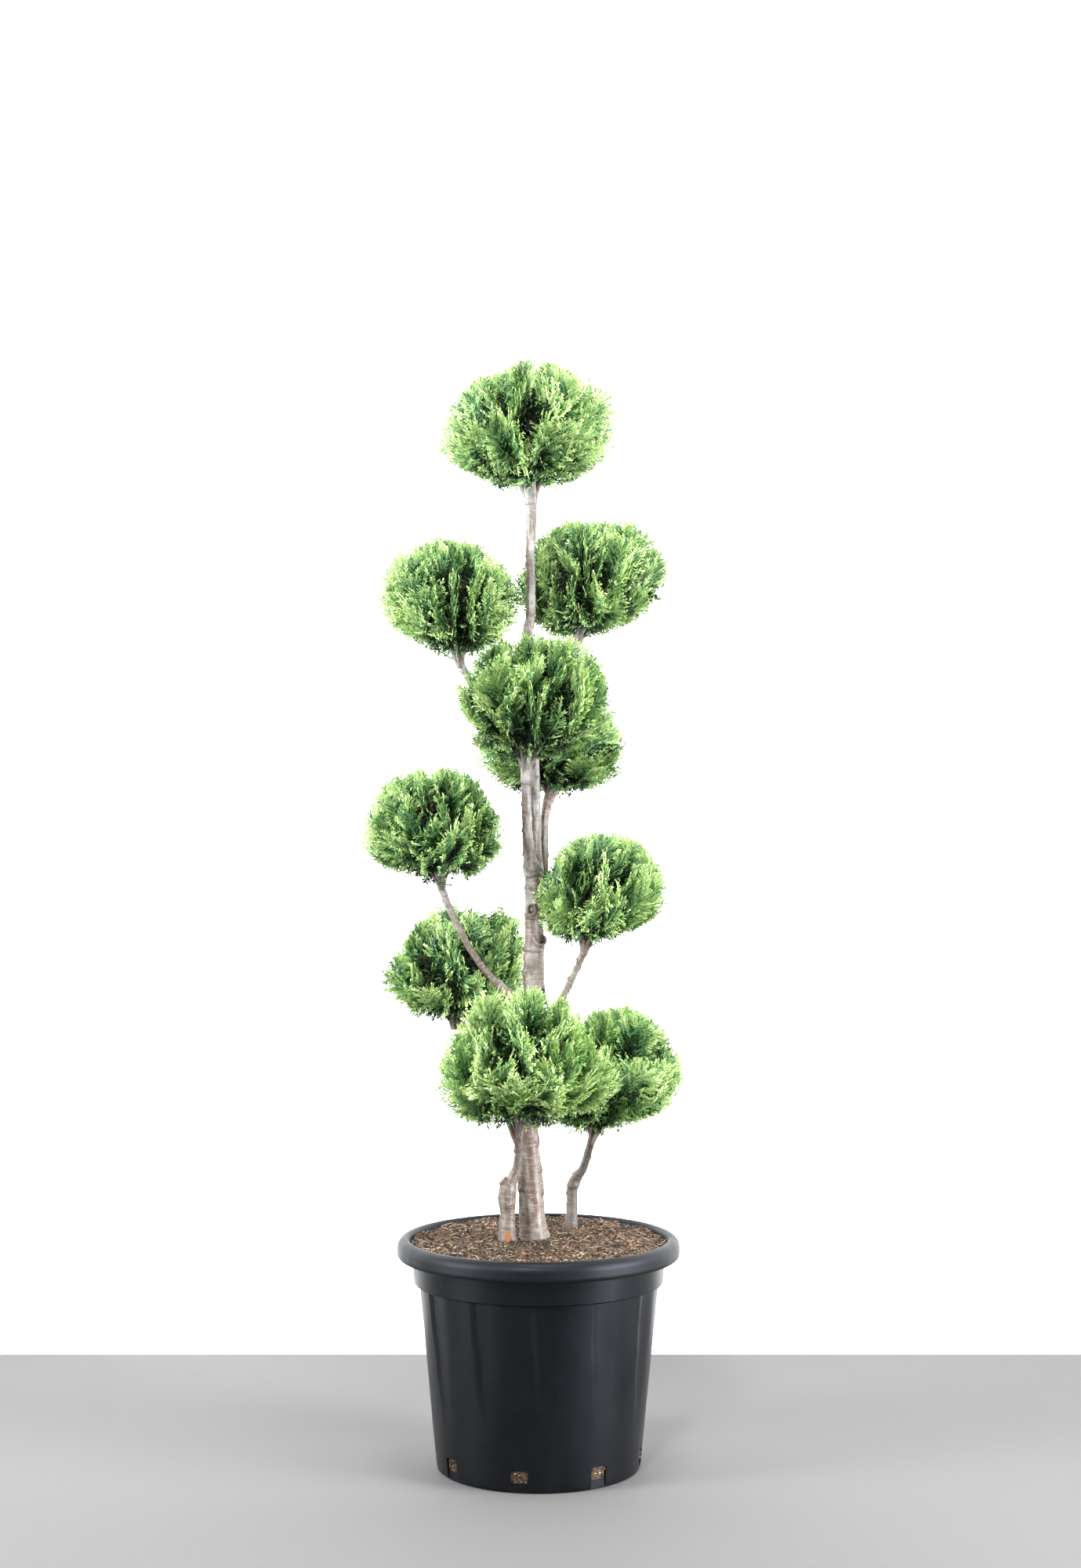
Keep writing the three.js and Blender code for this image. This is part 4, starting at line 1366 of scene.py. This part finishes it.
def cut_drains(pot):
    """Cuts the drain holes, and the shallow channels below them."""
    height = DRAIN_TOP - DRAIN_BOTTOM
    for i in range(DRAIN_HOLES):
        angle = math.radians(DRAIN_TURN_DEG + i * 360 / DRAIN_HOLES)
        out = Vector((math.sin(angle), -math.cos(angle), 0))
        hole = out * (POT_BASE_RADIUS - 1) + Vector((0, 0, DRAIN_BOTTOM + height / 2))
        cut_block(pot, hole, (DRAIN_WIDTH, 36, height), angle, 3.5)
        channel = out * (POT_BASE_RADIUS - CHANNEL_DEPTH + 8) + Vector((0, 0, DRAIN_BOTTOM / 2 - 1))
        cut_block(pot, channel, (DRAIN_WIDTH, 16, DRAIN_BOTTOM + 3), angle, 0.4)


def soil_height(radius):
    """The soil's level in millimetres at a distance from the pot's axis."""
    if radius <= SOIL_LEVEL_RADIUS:
        return SOIL_LEVEL
    share = (radius - SOIL_LEVEL_RADIUS) / (RIM_INNER_RADIUS - 2 - SOIL_LEVEL_RADIUS)
    return SOIL_LEVEL + (SOIL_EDGE_LEVEL - SOIL_LEVEL) * share


def soil_relief(x, y):
    """Lumps in the soil's surface and its rise towards the back, in millimetres."""
    lumps = noise.noise(Vector((x * 0.035, y * 0.035, 3.1))) * 3.0
    crumbs = noise.noise(Vector((x * 0.14, y * 0.14, 7.7))) * 2.8
    grains = noise.noise(Vector((x * 0.45, y * 0.45, 1.3))) * 1.3
    return lumps + crumbs + grains + SOIL_RISE * smoothstep(30, 170, y)


def make_soil():
    """The soil, a closed body that fills the pot, with a lumpy top."""
    inset = POT_WALL + SOIL_GAP
    top = [(RIM_INNER_RADIUS - 2, SOIL_EDGE_LEVEL), (SOIL_LEVEL_RADIUS, SOIL_LEVEL), (0.0, SOIL_LEVEL)]
    profile = [
        (0.0, POT_FLOOR + SOIL_GAP),
        (POT_BASE_RADIUS - inset, POT_FLOOR + SOIL_GAP),
        (POT_BODY_RADIUS - inset - FLUTE_DEPTH, COLLAR_BOTTOM),
        (COLLAR_BOTTOM_RADIUS - inset, COLLAR_BOTTOM + 3 + SOIL_GAP),
        (COLLAR_TOP_RADIUS - inset, COLLAR_TOP),
        *rounded(top, 2.0),
    ]
    soil = lathe("soil_bed", profile, 180)
    for vertex in soil.data.vertices:
        x, y, z = (c / MM for c in vertex.co)
        if z > SOIL_EDGE_LEVEL - 0.5:
            vertex.co.z += soil_relief(x, y) * MM
    soil.data.materials.clear()
    soil.data.materials.append(soil_mix)
    declare(soil, "soil", "soil")


# What is strewn on the soil and packed into the drain holes.
soil_bit_materials = [
    plain_material("wet_bark_chip", "#281F19", 0.85, 0.3),
    plain_material("dry_bark_chip", "#5D4A3A", 0.85, 0.3),
    plain_material("red_bark_chip", "#734B34", 0.85, 0.3),
    plain_material("straw_fibre", "#A08E78", 0.8, 0.3),
    plain_material("fallen_scale_leaf", "#557038", 0.7, 0.3),
]


def bit_corners(rng, centre, ahead, side, size):
    """The corners of one chip or fibre, which isn't quite square."""
    up = np.cross(ahead, side)
    corners = []
    for sz in (-1, 1):
        for sx, sy in ((-1, -1), (1, -1), (1, 1), (-1, 1)):
            jitter = 1 - rng.uniform(0, 0.3)
            corners.append(
                centre
                + ahead * size[0] / 2 * sx * jitter
                + side * size[1] / 2 * sy * jitter
                + up * size[2] / 2 * sz
            )
    return corners


def make_soil_bits():
    """Bark chips and fibres strewn over the soil, and bits in the drain holes, joined into one piece."""
    rng = np.random.default_rng(52)
    places = []
    triangles = []
    slots = []
    box_faces = [
        (0, 2, 1), (0, 3, 2), (4, 5, 6), (4, 6, 7), (0, 1, 5), (0, 5, 4),
        (1, 2, 6), (1, 6, 5), (2, 3, 7), (2, 7, 6), (3, 0, 4), (3, 4, 7),
    ]
    for i in range(CHIPS + FIBRES + DRAIN_BITS * DRAIN_HOLES):
        fibre = CHIPS <= i < CHIPS + FIBRES
        hole = (i - CHIPS - FIBRES) // DRAIN_BITS
        radius = (RIM_INNER_RADIUS - 5) * math.sqrt(rng.uniform())
        bearing = rng.uniform(0, 2 * math.pi)
        if hole >= 0:
            radius = POT_BASE_RADIUS - 1 + rng.uniform(-1.2, 0.6)
            bearing = math.radians(DRAIN_TURN_DEG + hole * 360 / DRAIN_HOLES - 90 + rng.uniform(-4.2, 4.2))
        x, y = radius * math.cos(bearing), radius * math.sin(bearing)
        if fibre:
            size = np.array([rng.uniform(6, 20), rng.uniform(0.5, 1.0), rng.uniform(0.4, 0.8)])
        else:
            long = rng.uniform(1.5, 5) * (1.8 if rng.uniform() < 0.05 else 1)
            size = np.array([long, long * rng.uniform(0.35, 0.7), rng.uniform(0.8, 2.2)])
        turn = rng.uniform(0, 2 * math.pi)
        tilt = rng.normal(0, 0.16 if fibre else 0.35)
        ahead = direction(turn, tilt)
        side = unit(np.cross([0, 0, 1.0], ahead) + rng.normal(0, 0.25, 3))
        side = unit(side - ahead * np.dot(side, ahead))
        level = soil_height(radius) + soil_relief(x, y) + size[2] * 0.35 + 0.3
        if hole >= 0:
            level = rng.uniform(DRAIN_BOTTOM + 1.5, DRAIN_TOP - 1.5)
        first = len(places)
        places.extend(bit_corners(rng, np.array([x, y, level]), ahead, side, size))
        triangles.extend(tuple(first + corner for corner in face) for face in box_faces)
        if fibre:
            slot = 3 if rng.uniform() < 0.6 else 1
        else:
            slot = rng.choice([0, 1, 2, 3, 4], p=[0.47, 0.37, 0.1, 0.05, 0.01])
        slots.extend([slot] * len(box_faces))
    declare(mesh_piece("soil_chips", places, triangles, soil_bit_materials, slots), "soil")


# The studio.


def paper_material():
    """White paper lit from behind. Its back is clear, so that the plant is seen from there too."""
    paper, tree, shader = new_material("backlit_white_paper")
    shader.inputs["Base Color"].default_value = srgb("#F4F4F4")
    shader.inputs["Roughness"].default_value = 0.9
    shader.inputs["Emission Color"].default_value = (1.0, 1.0, 1.0, 1.0)
    shader.inputs["Emission Strength"].default_value = PAPER_GLOW
    back = add_node(tree, "NewGeometry").outputs["Backfacing"]
    one_sided = add_node(tree, "MixShader", {"Fac": back})
    tree.links.new(shader.outputs["BSDF"], one_sided.inputs[1])
    tree.links.new(add_node(tree, "BsdfTransparent").outputs["BSDF"], one_sided.inputs[2])
    tree.links.new(one_sided.outputs["Shader"], tree.nodes["Material Output"].inputs["Surface"])
    return paper


def hang_sheets():
    """A pale floor, and white paper hung behind it, each a flat sheet along its [y, z] profile."""
    floor_paint = plain_material("pale_floor_paint", "#646464", 0.8, 0.2)
    floor_profile = [(-FLOOR_HALF_WIDTH, 0.0), (FLOOR_HALF_WIDTH, 0.0)]
    paper_profile = [(PAPER_BACK, -0.02), (PAPER_BACK, PAPER_HEIGHT)]
    sheets = (
        ("studio_floor", floor_paint, FLOOR_HALF_WIDTH, floor_profile),
        ("studio_paper", paper_material(), PAPER_HALF_WIDTH, paper_profile),
    )
    for name, material, half_width, profile in sheets:
        verts = [(x, y, z - 0.0005) for y, z in profile for x in (-half_width, half_width)]
        mesh = bpy.data.meshes.new(name)
        mesh.from_pydata(verts, [], [(0, 1, 3, 2)])
        mesh.materials.append(material)
        sheet = bpy.data.objects.new(name, mesh)
        bpy.context.scene.collection.objects.link(sheet)


def light_room():
    """An even white light from everywhere."""
    world = bpy.data.worlds.new("studio_world")
    bpy.context.scene.world = world
    world.use_nodes = True
    background = world.node_tree.nodes["Background"]
    background.inputs["Color"].default_value = (1.0, 1.0, 1.0, 1.0)
    background.inputs["Strength"].default_value = WORLD_LIGHT


def soft_light(name, place, aim, size, power, spread_deg=180):
    """A softbox at a place in metres, turned towards aim."""
    light = bpy.data.lights.new(name, "AREA")
    light.shape = "RECTANGLE"
    light.size, light.size_y = size
    light.energy = power
    light.spread = math.radians(spread_deg)
    lamp = bpy.data.objects.new(name, light)
    bpy.context.scene.collection.objects.link(lamp)
    lamp.location = place
    lamp.rotation_euler = (Vector(aim) - Vector(place)).to_track_quat("-Z", "Y").to_euler()


def place_camera():
    """The camera, level and looking to the back."""
    camera_data = bpy.data.cameras.new("camera")
    camera_data.lens = CAMERA_LENS
    camera_data.sensor_width = SENSOR
    camera_data.sensor_fit = "AUTO"
    camera_data.clip_end = 50
    camera = bpy.data.objects.new("camera", camera_data)
    bpy.context.scene.collection.objects.link(camera)
    camera.location = [c * MM for c in CAMERA_PLACE]
    camera.rotation_euler = (math.pi / 2, 0, 0)
    bpy.context.scene.camera = camera


def make_studio():
    """The sheets, the lights and the camera."""
    hang_sheets()
    light_room()
    soft_light("left_light", (-2.55, -1.1, 1.25), (0, 0, 0.9), (0.8, 2.4), 185)
    soft_light("right_light", (2.6, -1.0, 1.25), (0, 0, 0.9), (1.1, 2.4), 190)
    soft_light("pot_light", (1.9, -1.05, 0.35), (0, 0, 0.12), (0.5, 0.7), 3, 30)
    soft_light("top_light", (0.1, -0.6, 3.1), (0, 0, 0.9), (0.6, 0.6), 55)
    soft_light("front_light", (-0.7, -3.2, 2.4), (0, 0, 0.8), (0.5, 0.5), 135)
    place_camera()
    bpy.context.scene.view_settings.view_transform = "Standard"


make_studio()
make_pot()
make_soil()
make_soil_bits()
strew_nubs()
for limb_name, limb_stations in LIMBS.items():
    make_limb(limb_name, limb_stations)
make_foliage()
